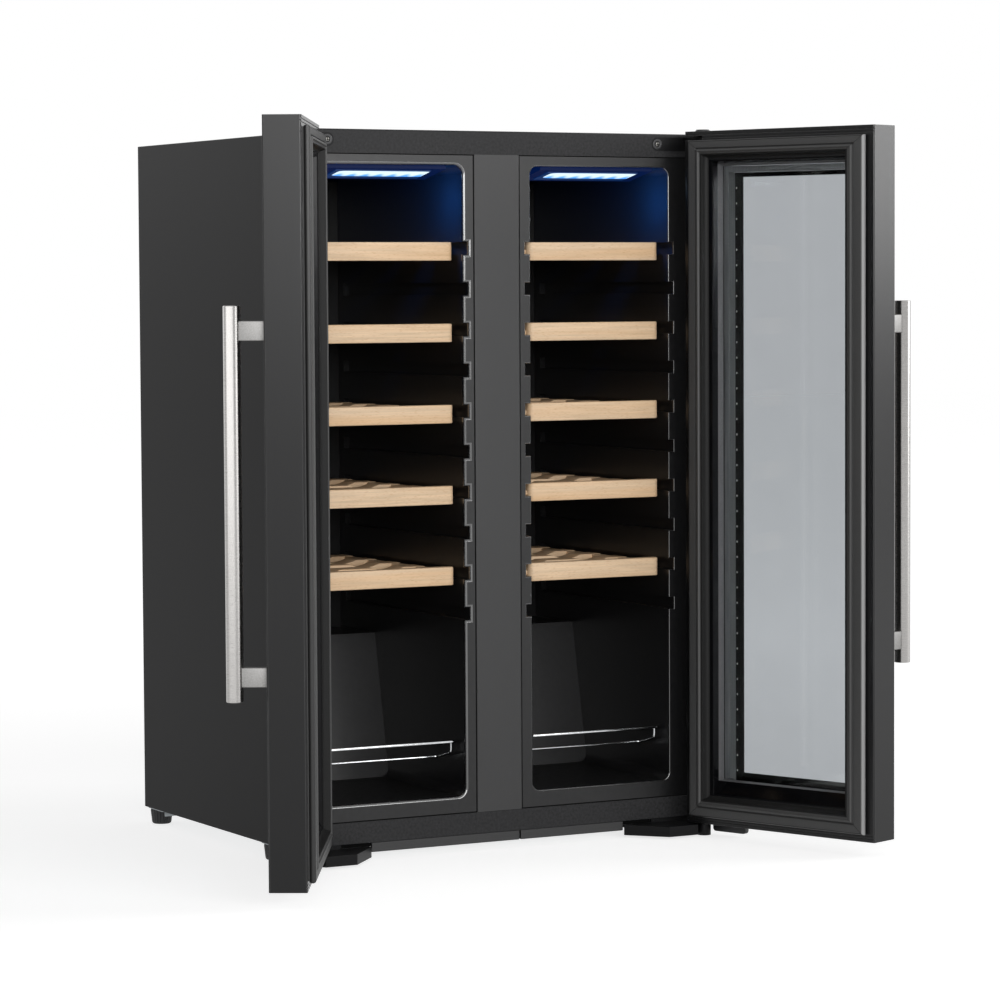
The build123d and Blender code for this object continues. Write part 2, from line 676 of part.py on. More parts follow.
with BuildPart() as drip_tray:
    with Locations((COMPRESSOR_X, COMPRESSOR_Y, COMPRESSOR_Z + COMPRESSOR_HEIGHT)):
        Box(TRAY_WIDTH, TRAY_DEPTH, TRAY_HEIGHT, align=up)
    rim = drip_tray.faces().sort_by(Axis.Z)[-1]
    offset(amount=-TRAY_WALL, openings=rim)
save(drip_tray, "drip_tray")

# Condenser: one tube in upright passes, clipped behind the rear grille
with BuildPart() as condenser_coil:
    coil_y = REAR_SKIN - COIL_RADIUS
    points = []
    for n in range(COIL_PASSES):
        z = BASE + COIL_BOTTOM + n * COIL_PITCH
        ends = (COIL_START_X, COIL_START_X + COIL_LENGTH)
        points += [(x, coil_y, z) for x in (ends if n % 2 == 0 else reversed(ends))]
    with BuildLine() as coil_path:
        FilletPolyline(*points, radius=COIL_PITCH * 0.45)
    with BuildSketch(Plane(origin=coil_path.line @ 0, z_dir=coil_path.line % 0)):
        RegularPolygon(COIL_RADIUS, WIRE_FACETS)
    sweep(path=coil_path.line)
save(condenser_coil, "condenser_coil")

# Control box on the bay floor and the mains inlet in the rear grille
with BuildPart() as control_box:
    box_y = REAR_SKIN - BOX_BACK
    with Locations((BOX_X, box_y, PAN_Z + BAY_PLATE)):
        Box(BOX_WIDTH, BOX_DEPTH, BOX_HEIGHT, align=up)
    fillet(control_box.edges().filter_by(Axis.Z), BOX_HEIGHT / 9)
save(control_box, "control_box")

with BuildPart() as power_inlet:
    with BuildSketch(Plane.XZ.offset(-REAR_SKIN - SHEET)):
        with Locations((INLET_X, BASE + INLET_Z)):
            Rectangle(INLET_WIDTH, INLET_HEIGHT)
    extrude(amount=INLET_DEPTH)
    with BuildSketch(Plane.XZ.offset(-REAR_SKIN - SHEET)):
        with Locations((INLET_X, BASE + INLET_Z)):
            flange = (INLET_WIDTH + 2 * INLET_FLANGE, INLET_HEIGHT + 2 * INLET_FLANGE)
            RectangleRounded(*flange, INLET_FLANGE_ROUND)
    extrude(amount=-REAR_RIB / 2)
    with BuildSketch(Plane.XZ.offset(-BACK)):
        with Locations((INLET_X, BASE + INLET_Z)):
            socket = (INLET_WIDTH - 2 * INLET_WALL, INLET_HEIGHT - 2 * INLET_WALL)
            RectangleRounded(*socket, SOCKET_ROUND)
    extrude(amount=INLET_DEPTH, mode=Mode.SUBTRACT)
save(power_inlet, "power_inlet")

with BuildPart() as rear_grille:
    block((-INSIDE, REAR_SKIN, PAN_Z), (INSIDE, REAR_SKIN + SHEET, BAY_TOP))
    with BuildSketch(Plane.XZ.offset(-REAR_SKIN - SHEET)):
        with Locations((GRILLE_X, (PAN_Z + BAY_TOP) / 2)):
            with GridLocations(GRILLE_PITCH_X, GRILLE_PITCH_Z, GRILLE_SLOTS, GRILLE_ROWS):
                Rectangle(GRILLE_SLOT_WIDTH, GRILLE_SLOT_HEIGHT)
        with Locations((INLET_X, BASE + INLET_Z)):
            Rectangle(INLET_WIDTH, INLET_HEIGHT)
    extrude(amount=SHEET, mode=Mode.SUBTRACT)
save(rear_grille, "rear_grille")

# Levelling feet: a rimmed, gripped disc on a threaded stem
for front, foot_y in {"front": -FOOT_PITCH_Y / 2, "rear": FOOT_PITCH_Y / 2}.items():
    for side, hand in SIDES.items():
        with BuildPart() as foot:
            foot_x = hand * FOOT_PITCH_X / 2
            foot_top = BASE - SEAT_GAP
            with BuildSketch(Plane.XZ):
                with BuildLine():
                    Polyline(
                        (0, 0),
                        (FOOT_RADIUS, 0),
                        (FOOT_RADIUS, FOOT_RIM),
                        (FOOT_NECK_RADIUS, FOOT_RIM + FOOT_RADIUS - FOOT_NECK_RADIUS),
                        (FOOT_NECK_RADIUS, foot_top),
                        (FOOT_STEM_RADIUS, foot_top),
                        (FOOT_STEM_RADIUS, foot_top + FOOT_STEM),
                        (0, foot_top + FOOT_STEM),
                        close=True,
                    )
                make_face()
            revolve(axis=Axis.Z)
            grip_foot = FOOT_RIM / 2
            with Locations((0, 0, grip_foot)):
                with PolarLocations(FOOT_NECK_RADIUS, FOOT_GRIPS):
                    Box(2 * FOOT_GRIP_DEPTH, FOOT_GRIP_WIDTH, foot_top - grip_foot, align=up)
        foot.part.locate(Location((foot_x, foot_y, 0)))
        save(foot, f"foot_{front}_{side}")

# Beech shelves: front rail, and a slatted rack whose tongues run in the liner slots
for side, hand in SIDES.items():
    for level in range(SHELF_COUNT):
        shelf_z = SHELF_TOP - level * SHELF_PITCH
        x_mid = hand * ZONE_X
        half_rail = ZONE_WIDTH / 2 - RAIL_GAP
        rail_y = FRONT + RAIL_SETBACK
        rack_y = rail_y + RAIL_THICKNESS
        slat_top = shelf_z - CRADLE_DEPTH
        tongue_z = shelf_z - SLOT_HEIGHT + SEAT_GAP
        with BuildPart() as front_rail:
            block(
                (x_mid - half_rail, rail_y, shelf_z - RAIL_HEIGHT),
                (x_mid + half_rail, rack_y, shelf_z),
            )
            fillet(front_rail.edges().filter_by(Axis.Z).group_by(Axis.Y)[0], RAIL_ROUND)
        with BuildPart() as shelf:
            slat_low = slat_top - SLAT_THICKNESS
            for end in (-1, 1):
                bar = (x_mid + end * half_rail, x_mid + end * (half_rail - SIDE_BAR))
                block((min(bar), rack_y, slat_low), (max(bar), SHELF_BACK, slat_top))
                tongue_y = SHELF_BACK - TONGUE_LENGTH
                runs = ((TENON_REACH, rail_y + RAIL_ROUND, tongue_y), (TONGUE_REACH, tongue_y, SHELF_BACK))
                for reach, y0, y1 in runs:
                    wall = ZONE_WIDTH / 2 + reach
                    tongue = (x_mid + end * wall, x_mid + end * (half_rail - SIDE_BAR))
                    block((min(tongue), y0, tongue_z), (max(tongue), y1, tongue_z + TONGUE_HEIGHT))
            slat_step = (SHELF_BACK - rack_y - SLAT_WIDTH) / (SLAT_COUNT - 1)
            for n in range(SLAT_COUNT):
                y = rack_y + n * slat_step
                block((x_mid - half_rail, y, slat_low), (x_mid + half_rail, y + SLAT_WIDTH, slat_top))
            cradle_z = slat_top + CRADLE_RADIUS - CRADLE_DEPTH
            for end in (-1, 1):
                cradle = (x_mid + end * CRADLE_PITCH / 2, (rack_y + SHELF_BACK) / 2, cradle_z)
                with Locations(Location(cradle, (90, 0, 0))):
                    Cylinder(CRADLE_RADIUS, SHELF_BACK - rail_y, mode=Mode.SUBTRACT)
            add(front_rail.part)
        save(shelf, f"shelf_{side}_{level + 1}")

# Top hinges: a tab let into the top strip, an arm and the pin
with BuildPart() as top_hinges:
    for hand in SIDES.values():
        hinge_tab(hand, TOP_TAB)
        side_block(
            hand,
            (AXIS_X - TOP_ARM_HALF, AXIS_Y, ARM_BOTTOM),
            (AXIS_X + TOP_ARM_HALF, FRONT, ARM_TOP),
        )
        with Locations((hand * AXIS_X, AXIS_Y, ARM_BOTTOM)):
            Cylinder(TOP_ARM_HALF, TOP_ARM, align=up)
        with Locations((hand * AXIS_X, AXIS_Y, DOOR_TOP - SEAT_GAP)):
            Cylinder(PIN_RADIUS, DOOR_TOP - ARM_BOTTOM + BUSH_LENGTH, align=down)
save(top_hinges, "top_hinges")

# Bottom hinges: a skirted bracket under the front edge, a boss and the pin
with BuildPart() as bottom_hinges:
    for hand in SIDES.values():
        inner_x = AXIS_X - LOW_REACH
        outline = [
            (inner_x, FRONT),
            (inner_x + LOW_SLANT, FRONT - LOW_FRONT),
            (AXIS_X - 2 * LOW_BOSS_RADIUS, FRONT - LOW_FRONT),
            (AXIS_X - LOW_BOSS_RADIUS, AXIS_Y),
            (AXIS_X + LOW_BOSS_RADIUS, AXIS_Y),
            (AXIS_X + LOW_BOSS_RADIUS, FRONT),
        ]
        with BuildSketch(Plane.XY.offset(LOW_BOTTOM)) as skirt:
            with BuildLine():
                Polyline(*[(hand * x, y) for x, y in outline], close=True)
            make_face()
        extrude(amount=LOW_SKIRT)
        with BuildSketch(Plane.XY.offset(LOW_BOTTOM)):
            add(skirt.sketch.faces())
            offset(amount=-LOW_SKIRT_WALL, kind=Kind.INTERSECTION, mode=Mode.REPLACE)
        extrude(amount=LOW_SKIRT - LOW_PLATE, mode=Mode.SUBTRACT)
        side_block(
            hand,
            (inner_x, FRONT, LOW_TOP - LOW_PLATE),
            (AXIS_X + LOW_BOSS_RADIUS, FRONT + LOW_MOUNT_DEPTH, LOW_TOP),
        )
        side_block(
            hand,
            (inner_x + LOW_SLANT, FRONT + FLANGE_STEP, LOW_TOP),
            (AXIS_X + LOW_BOSS_RADIUS, FRONT + LOW_MOUNT_DEPTH, BASE),
        )
        with Locations((hand * AXIS_X, AXIS_Y, LOW_TOP - LOW_BOSS_DROP)):
            Cylinder(LOW_BOSS_RADIUS, LOW_BOSS_DROP + HINGE_UNDER_GAP - SEAT_GAP, align=up)
        with Locations((hand * AXIS_X, AXIS_Y, LOW_TOP)):
            Cylinder(PIN_RADIUS, HINGE_UNDER_GAP + BUSH_LENGTH - SEAT_GAP, align=up)
save(bottom_hinges, "bottom_hinges")


# Doors, drawn about the hinge axis: u runs to the free edge, v runs out through the door
def door_plane(side):
    """Plane on the floor at a hinge axis, turned to the angle at which the door stands open."""
    hand = SIDES[side]
    angle = radians(DOOR_OPEN[side])
    origin = (hand * AXIS_X, AXIS_Y, 0)
    return Plane(origin=origin, x_dir=(-hand * cos(angle), -sin(angle), 0), z_dir=(0, 0, 1))


def door_face(side, v):
    """Upright plane through a door, parallel to its faces, at the depth v."""
    hand = SIDES[side]
    floor = door_plane(side)
    return Plane(
        origin=floor.from_local_coords(Vector(0, hand * v, 0)), x_dir=floor.x_dir, z_dir=-floor.y_dir
    )


def door_block(side, u, v, z, mode=Mode.ADD):
    """A box in a door, between pairs of u, v and z values."""
    hand = SIDES[side]
    return block((u[0], hand * v[0], z[0]), (u[1], hand * v[1], z[1]), mode)


def door_rim(side, inset, v, mode=Mode.ADD):
    """A box over the whole door, drawn in from its four edges."""
    wide = (DOOR_END + inset, DOOR_FREE - inset)
    return door_block(side, wide, v, (DOOR_BOTTOM + inset, DOOR_TOP - inset), mode)


def reveal_outline(near):
    """Centre, width and height of the reveal, at the room side or at the glass."""
    left = bottom = top = REVEAL_NEAR_INSET
    if not near:
        left, bottom, top = REVEAL_SIDE_INSET, REVEAL_BOTTOM_INSET, REVEAL_TOP_INSET
    low = DOOR_BOTTOM + bottom
    high = DOOR_TOP - top
    return ((DOOR_END + DOOR_FREE) / 2, (low + high) / 2), DOOR_WIDTH - 2 * left, high - low


for side, hand in SIDES.items():
    with BuildPart(door_plane(side)) as door_frame:
        door_rim(side, 0, (DOOR_INNER, DOOR_OUTER))
        chamfer(door_frame.edges().filter_by(Axis.Z), DOOR_EDGE)
        door_rim(side, FRAME_WIDTH, (DOOR_INNER, PANE_OUTER), Mode.SUBTRACT)
        door_rim(side, FRAME_WIDTH + GLASS_LIP_WIDTH, (PANE_OUTER, DOOR_OUTER), Mode.SUBTRACT)
        door_block(
            side,
            (DOOR_END, DOOR_END + ARM_SLOT),
            (DOOR_INNER, DOOR_OUTER),
            (ARM_BOTTOM - ARM_CLEAR, ARM_TOP + ARM_CLEAR),
            Mode.SUBTRACT,
        )
        for n in (1, 2):
            near = n * GROOVE_PITCH
            for z in (DOOR_BOTTOM + near, DOOR_TOP - near - GROOVE_WIDTH):
                door_block(
                    side,
                    (DOOR_END, DOOR_FREE),
                    (DOOR_INNER, DOOR_INNER + GROOVE_DEPTH),
                    (z, z + GROOVE_WIDTH),
                    Mode.SUBTRACT,
                )
        with Locations((0, 0, DOOR_TOP)):
            Cylinder(PIN_RADIUS + PIN_CLEAR, 2 * TOP_TAB_HEIGHT, mode=Mode.SUBTRACT)
        with Locations((0, 0, ARM_BOTTOM - ARM_CLEAR)):
            Cylinder(BUSH_RADIUS, BUSH_LENGTH, align=down, mode=Mode.SUBTRACT)
        with Locations((0, 0, DOOR_BOTTOM)):
            Cylinder(BUSH_RADIUS, BUSH_LENGTH, align=up, mode=Mode.SUBTRACT)
    save(door_frame, f"door_{side}_frame")

    pane_inset = FRAME_WIDTH + GLASS_FIT
    with BuildPart(door_plane(side)) as outer_glass:
        door_rim(side, pane_inset, (PANE_OUTER - GLASS, PANE_OUTER))
    save(outer_glass, f"door_{side}_outer_glass")

    with BuildPart(door_plane(side)) as inner_glass:
        door_rim(side, pane_inset, (PANE_INNER - GLASS, PANE_INNER))
    save(inner_glass, f"door_{side}_inner_glass")

    with BuildPart(door_plane(side)) as glass_spacer:
        spacer_v = (PANE_INNER, PANE_INNER + SPACER_DEPTH)
        door_rim(side, FRAME_WIDTH + SPACER_INSET, spacer_v)
        door_rim(side, FRAME_WIDTH + SPACER_INSET + SPACER_WIDTH, spacer_v, Mode.SUBTRACT)
    save(glass_spacer, f"door_{side}_glass_spacer")

    with BuildPart(door_plane(side)) as surround:
        door_rim(side, pane_inset, (DOOR_INNER, PANE_INNER - GLASS))
        for near, v in ((True, DOOR_INNER), (False, PANE_INNER - GLASS)):
            centre, width, height = reveal_outline(near)
            with BuildSketch(door_face(side, v)):
                with Locations(centre):
                    Rectangle(width, height)
        loft(ruled=True, mode=Mode.SUBTRACT)
    save(surround, f"door_{side}_surround")

    with BuildPart(door_plane(side)) as gasket:
        tallest = GASKET_GAP - GASKET_FREE
        steps = [(GASKET_INSET, tallest)]
        web = GASKET_INSET + GASKET_LIP_WIDTH
        for rib in range(1, GASKET_RIBS + 1):
            steps.append((web, GASKET_WEB))
            steps.append((web + GASKET_RIB_GAP, tallest - rib * GASKET_RIB_DROP))
            web += GASKET_RIB_GAP + GASKET_RIB_WIDTH
        steps.append((web, GASKET_WEB))
        inner_insets = [inset for inset, height in steps[1:]] + [GASKET_INSET + GASKET_WIDTH]
        for (inset, height), inner in zip(steps, inner_insets):
            step_v = (DOOR_INNER - height, DOOR_INNER)
            door_rim(side, inset, step_v)
            door_rim(side, inner, step_v, Mode.SUBTRACT)
    save(gasket, f"door_{side}_gasket")

    with BuildPart(door_plane(side)) as handle:
        handle_u = DOOR_FREE - HANDLE_EDGE
        handle_v = DOOR_OUTER + HANDLE_STANDOFF
        handle_z = BASE + HANDLE_BOTTOM
        with Locations((handle_u, hand * handle_v, handle_z)):
            Cylinder(HANDLE_RADIUS, HANDLE_LENGTH, align=up)
        chamfer(handle.edges().filter_by(GeomType.CIRCLE), HANDLE_RADIUS / 10)
        for end in (POST_INSET, HANDLE_LENGTH - POST_INSET):
            door_block(
                side,
                (handle_u - POST_WIDTH / 2, handle_u + POST_WIDTH / 2),
                (DOOR_OUTER, handle_v),
                (handle_z + end - POST_HEIGHT / 2, handle_z + end + POST_HEIGHT / 2),
            )
    save(handle, f"door_{side}_handle")

    with BuildPart(door_plane(side)) as hinge_fittings:
        with Locations((0, 0, DOOR_TOP)):
            Cylinder(CAP_RADIUS, CAP_HEIGHT, align=up)
        chamfer(hinge_fittings.edges().filter_by(GeomType.CIRCLE).sort_by(Axis.Z)[-1], CAP_HEIGHT / 2)
        bore = PIN_RADIUS + PIN_CLEAR
        for z, align in ((ARM_BOTTOM - ARM_CLEAR, down), (DOOR_BOTTOM, up)):
            with Locations((0, 0, z)):
                Cylinder(BUSH_RADIUS, BUSH_LENGTH, align=align)
                Cylinder(bore, BUSH_LENGTH, align=align, mode=Mode.SUBTRACT)
        with BuildSketch(door_face(side, LEAF_NEAR)) as leaf:
            with Locations((LEAF_START + LEAF_LENGTH / 2, DOOR_BOTTOM - LEAF_HEIGHT / 2)):
                Rectangle(LEAF_LENGTH, LEAF_HEIGHT)
            fillet(leaf.vertices().group_by(Axis.Y)[0], LEAF_ROUND)
        extrude(amount=-hand * LEAF_THICKNESS)
    save(hinge_fittings, f"door_{side}_hinge_fittings")
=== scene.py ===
"""Looks of the two-door wine cooler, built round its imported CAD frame.

The CAD nodes give every place and size. This script gives them finishes, and makes the pieces
whose real form is finer than their solids: gaskets, handles, feet, wire retainers, shelves, screws.
Sizes are in millimetres until a mesh is made.
"""

import math

import bmesh
import bpy
import numpy as np
from bpy.props import FloatProperty, FloatVectorProperty, IntProperty, PointerProperty
from mathutils import Matrix, Vector


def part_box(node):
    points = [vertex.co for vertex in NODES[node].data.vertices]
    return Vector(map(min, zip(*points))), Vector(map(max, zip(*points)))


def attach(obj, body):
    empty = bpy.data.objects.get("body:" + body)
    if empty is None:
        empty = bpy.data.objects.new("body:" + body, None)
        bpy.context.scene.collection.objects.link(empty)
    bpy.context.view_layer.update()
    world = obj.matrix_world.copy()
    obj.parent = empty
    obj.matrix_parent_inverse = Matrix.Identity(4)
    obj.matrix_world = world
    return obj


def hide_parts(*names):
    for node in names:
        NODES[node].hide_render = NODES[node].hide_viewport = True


bl_info = {
    "name": "Wine cooler",
    "version": (1, 0, 0),
    "blender": (4, 5, 0),
    "location": "3D view > Sidebar > Wine cooler",
    "description": "Dresses the packed two-door wine cooler and sets its studio",
    "category": "Object",
}

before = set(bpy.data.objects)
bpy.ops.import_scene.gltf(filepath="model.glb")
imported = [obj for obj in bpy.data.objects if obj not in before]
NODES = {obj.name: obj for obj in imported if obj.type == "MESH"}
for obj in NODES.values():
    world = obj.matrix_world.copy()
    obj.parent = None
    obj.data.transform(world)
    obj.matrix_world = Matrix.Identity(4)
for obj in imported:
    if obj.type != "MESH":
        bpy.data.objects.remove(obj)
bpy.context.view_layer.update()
MM = 0.001
SIDES = {"left": -1, "right": 1}


def corners(node):
    """Lowest and highest corner of a CAD node, in millimetres."""
    low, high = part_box(node)
    return np.array(low) / MM, np.array(high) / MM


# Doors: hinge axis, opening angles and extents, as the CAD has them
HINGE_X = 259.0
HINGE_Y = -256.5
DOOR_OPEN = {"left": 119.6, "right": 110.8}
DOOR_U = (-13.0, 257.0)
DOOR_V = (-18.0, 23.0)
DOOR_Z = tuple(float(corners("door_left_frame")[n][2]) for n in (0, 1))
FRONT = float(corners("front_top_strip")[0][1])
# Zones: the middle and half the width of a cavity, and the number of shelves in it
ZONE_X = 136.5
ZONE_HALF = 92.5
SHELF_LEVELS = 5
# Rounding of the liners' lips, and the spacing of the pale dots along a glass spacer
LIP_ROUND = 3.2
SPACER_DOT = 18.0
# Gasket: width of its drawn profile, what each run stops short at a mitre, and the insets of its outer
# and inner edges at the hinge side, the free side, the top and the bottom
GASKET_WIDE = 26.0
MITRE_GAP = 0.3
GASKET_REACH = ((10.0, 36.0), (10.0, 39.8), (10.5, 32.0), (8.5, 34.4))
# Way in which the grain of like bars is shifted, so that no two look the same
GRAIN_SKEW = np.array((1.0, 0.37, 0.61))
# Distance within which a CAD node's loose triangles join, and the least angle of an edge that is broken
WELD_REACH = 0.02
BROKEN_FROM = 40.0
COLOUR_MIX = {"data_type": "RGBA"}


def linear(code):
    """Linear colour of an sRGB hex code."""
    value = np.array([int(code[n : n + 2], 16) for n in (0, 2, 4)]) / 255
    low = value / 12.92
    high = ((value + 0.055) / 1.055) ** 2.4
    return tuple(float(v) for v in np.where(value <= 0.04045, low, high))


def colour_prop(name, description, code):
    """A colour that a user can change."""
    return FloatVectorProperty(
        name=name, description=description, subtype="COLOR", size=3, min=0, max=1, default=linear(code)
    )


def length_prop(name, description, size_mm):
    """A length that a user can change, given in millimetres."""
    return FloatProperty(name=name, description=description, unit="LENGTH", default=size_mm * MM)


def level_prop(name, description, level, unit="NONE"):
    """A light level that a user can change."""
    return FloatProperty(name=name, description=description, unit=unit, default=level)


class CoolerColours(bpy.types.PropertyGroup):
    """Colours of the cooler's finishes."""

    paint: colour_prop("Cabinet paint", "Powder coat of the steel cabinet", "131314")
    trim: colour_prop("Trim", "Moulded strips, mullion cover and liners", "161617")
    door: colour_prop("Door frame", "Satin coat of the door frames", "121213")
    gasket: colour_prop("Gasket", "Soft door seals", "393939")
    beech: colour_prop("Beech", "Shelf timber", "DFC2A0")
    steel: colour_prop("Stainless steel", "Brushed handles", "A8A6A4")
    smoke: colour_prop("Smoked glass", "Tint of the outer panes", "B1B2B7")
    lamp: colour_prop("Lamp light", "Light of the ceiling lamps", "2A86FF")


class CoolerSizes(bpy.types.PropertyGroup):
    """Sizes of the details that the frame doesn't give."""

    rail_edge: length_prop("Rail edge", "Rounding of the shelf rails' edges", 1.0)
    steel_brush: length_prop("Brush lines", "Spacing of the brushed lines on steel", 0.35)
    beech_grain: length_prop("Beech grain", "Spacing of the beech's growth lines", 2.2)
    foot_ribs: IntProperty(name="Foot ribs", description="Ribs round each foot", default=20, min=6)


class CoolerStage(bpy.types.PropertyGroup):
    """Levels of the studio."""

    front: level_prop("Front box", "Radiance of the wide front soft box", 7.2)
    right: level_prop("Right box", "Radiance of the right soft box", 7.0)
    rear: level_prop("Rear box", "Radiance of the rear soft box", 1.2)
    handle: level_prop("Handle boxes", "Radiance of the left handle's boxes", 2.7)
    sky: level_prop("Room light", "Strength of the even light", 0.25)
    glow: level_prop("Lamp glow", "Power of each glow beside a lamp", 0.8, "POWER")


# Shapes: each returns points (mm), faces and grain coordinates (mm, length first)


def surface(rings, closed=False, length_axis=0, shift=0.0):
    """Quads between neighbouring rings of points; the ends of an open run get one flat cap each."""
    count, sides, _ = rings.shape
    index = np.arange(count * sides).reshape(count, sides)
    near = index if closed else index[:-1]
    far = np.roll(index, -1, 0) if closed else index[1:]
    quads = np.stack([near, np.roll(near, -1, 1), np.roll(far, -1, 1), far], -1)
    faces = quads.reshape(-1, 4).tolist()
    if not closed:
        faces += [index[0][::-1].tolist(), index[-1].tolist()]
    points = rings.reshape(-1, 3)
    grain = np.roll(points, -length_axis, 1) + shift * GRAIN_SKEW
    return points, faces, grain


def outline(low, high, radii, inset, steps=6):
    """Rectangle with an arc of its own radius at each corner, drawn in by each inset in turn."""
    start = np.radians((180, 270, 0, 90))
    turn = start[:, None] + np.linspace(0, math.pi / 2, steps)[None]
    radii = np.array(radii, dtype=float)
    centre_a = np.where([True, False, False, True], low[0] + radii, high[0] - radii)
    centre_b = np.where([True, True, False, False], low[1] + radii, high[1] - radii)
    reach = radii[None, :, None] - np.reshape(inset, (-1, 1, 1))
    a = centre_a[None, :, None] + reach * np.cos(turn)
    b = centre_b[None, :, None] + reach * np.sin(turn)
    return np.stack([a, b], -1).reshape(reach.shape[0], -1, 2)


def slab(low, high, edge, axis=2, radii=None, length_axis=0, shift=0.0, rounds=4):
    """Block whose outline, square to one axis, is drawn in by a quarter circle near both ends."""
    across = ((1, 2), (2, 0), (0, 1))[axis]
    turn = np.linspace(0, math.pi / 2, rounds)
    draw = edge * (1 - np.sin(turn))
    lift = edge * (1 - np.cos(turn))
    inset = np.concatenate([draw, draw[::-1]])
    height = np.concatenate([low[axis] + lift, high[axis] - lift[::-1]])
    flat = outline([low[n] for n in across], [high[n] for n in across], radii or (edge,) * 4, inset)
    rings = np.empty(flat.shape[:2] + (3,))
    rings[..., across[0]] = flat[..., 0]
    rings[..., across[1]] = flat[..., 1]
    rings[..., axis] = height[:, None]
    return surface(rings, length_axis=length_axis, shift=shift)


def turned(profile, centre, sides=48):
    """Profile of (radius, height) pairs turned about an upright line."""
    radius, height = np.array(profile, dtype=float).T
    angle = np.linspace(0, 2 * math.pi, sides, endpoint=False)
    rings = np.stack(
        [
            centre[0] + radius[:, None] * np.cos(angle),
            centre[1] + radius[:, None] * np.sin(angle),
            centre[2] + np.repeat(height[:, None], sides, 1),
        ],
        -1,
    )
    return surface(rings, length_axis=2)


def bent(route, radius, steps=7):
    """Polyline whose inner corners become arcs: each arc is a quadratic blend from leg to leg."""
    route = np.array(route, dtype=float)
    before, corner, after = route[:-2], route[1:-1], route[2:]
    back = (before - corner) / np.linalg.norm(before - corner, axis=1)[:, None]
    ahead = (after - corner) / np.linalg.norm(after - corner, axis=1)[:, None]
    t = np.linspace(0, 1, steps)[None, :, None]
    a = (corner + radius * back)[:, None]
    b = (corner + radius * ahead)[:, None]
    arcs = (1 - t) ** 2 * a + 2 * t * (1 - t) * corner[:, None] + t**2 * b
    return np.concatenate([route[:1], arcs.reshape(-1, 3), route[-1:]])


def tube(path, radius, sides=14, reference=(0.31, 0.77, 0.56)):
    """Circle carried along a path, square to its direction at each point."""
    along = np.gradient(path, axis=0)
    along /= np.linalg.norm(along, axis=1)[:, None]
    side = np.cross(along, reference)
    side /= np.linalg.norm(side, axis=1)[:, None]
    over = np.cross(along, side)
    angle = np.linspace(0, 2 * math.pi, sides, endpoint=False)[None, :, None]
    rings = path[:, None] + radius * (np.cos(angle) * side[:, None] + np.sin(angle) * over[:, None])
    return surface(rings)


def in_door(side, part):
    """A part drawn in a door's own (u, v, z), put where that door stands."""
    points, faces, grain = part
    hand = SIDES[side]
    angle = math.radians(DOOR_OPEN[side])
    u, v, z = points.T
    x = hand * (HINGE_X - math.cos(angle) * u + math.sin(angle) * v)
    y = HINGE_Y - math.sin(angle) * u - math.cos(angle) * v
    return np.stack([x, y, z], -1), faces, grain


def rim(rows):
    """Profile carried round a door, with mitres: depth, insets at hinge side, free side, top and bottom."""
    depth, hinge, free, top, bottom = np.array(rows, dtype=float).T
    u = np.stack([DOOR_U[0] + hinge, DOOR_U[1] - free, DOOR_U[1] - free, DOOR_U[0] + hinge])
    z = np.stack([DOOR_Z[0] + bottom, DOOR_Z[0] + bottom, DOOR_Z[1] - top, DOOR_Z[1] - top])
    v = np.repeat(depth[None], 4, 0)
    return surface(np.stack([u, v, z], -1), closed=True)


def mitred(rows, gap):
    """The profile of rim as four runs (bottom, free side, top, hinge side), each short of its mitres."""
    rings = rim(rows)[0].reshape(4, -1, 3)
    runs = []
    for near, far in zip(rings, np.roll(rings, -1, 0)):
        along = far.mean(0) - near.mean(0)
        step = gap * along / np.linalg.norm(along)
        runs.append(surface(np.stack([near + step, far - step])))
    return runs


def piece(name, parts, finish, body, stands_for=(), sharp=32.0):
    """Join parts into one mesh, give it a finish, and ride it on a CAD body."""
    offset = np.cumsum([0] + [len(part[0]) for part in parts])
    points = np.concatenate([part[0] for part in parts])
    grain = np.concatenate([part[2] for part in parts])
    faces = [[n + first for n in face] for part, first in zip(parts, offset) for face in part[1]]
    mesh = bpy.data.meshes.new(name)
    mesh.from_pydata((points * MM).tolist(), [], faces)
    lines = mesh.attributes.new("grain", "FLOAT_VECTOR", "POINT")
    lines.data.foreach_set("vector", (grain * MM).ravel())
    shell = bmesh.new()
    shell.from_mesh(mesh)
    bmesh.ops.recalc_face_normals(shell, faces=shell.faces)
    shell.to_mesh(mesh)
    shell.free()
    mesh.polygons.foreach_set("use_smooth", np.ones(len(mesh.polygons), dtype=bool))
    mesh.set_sharp_from_angle(angle=math.radians(sharp))
    mesh.materials.append(finish)
    made = bpy.data.objects.new(name, mesh)
    bpy.context.scene.collection.objects.link(made)
    if stands_for:
        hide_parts(*stands_for)
    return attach(made, body)


def weld(node):
    """Join the loose triangles of a CAD node, so that its edges can be rounded."""
    joined = node.modifiers.new("weld", "WELD")
    joined.merge_threshold = WELD_REACH * MM


def dress(nodes, finish, edge=0.0, edge_finish=None):
    """Give CAD nodes a finish, and break their sharp edges by a small width in millimetres."""
    for name in nodes:
        node = NODES[name]
        node.data.materials.clear()
        node.data.materials.append(finish)
        if edge_finish:
            node.data.materials.append(edge_finish)
        if edge:
            weld(node)
            bevel = node.modifiers.new("broken edges", "BEVEL")
            bevel.width = edge * MM
            bevel.segments = 2
            bevel.limit_method = "ANGLE"
            bevel.angle_limit = math.radians(BROKEN_FROM)
            bevel.material = 1 if edge_finish else -1
            bevel.harden_normals = True


# Materials


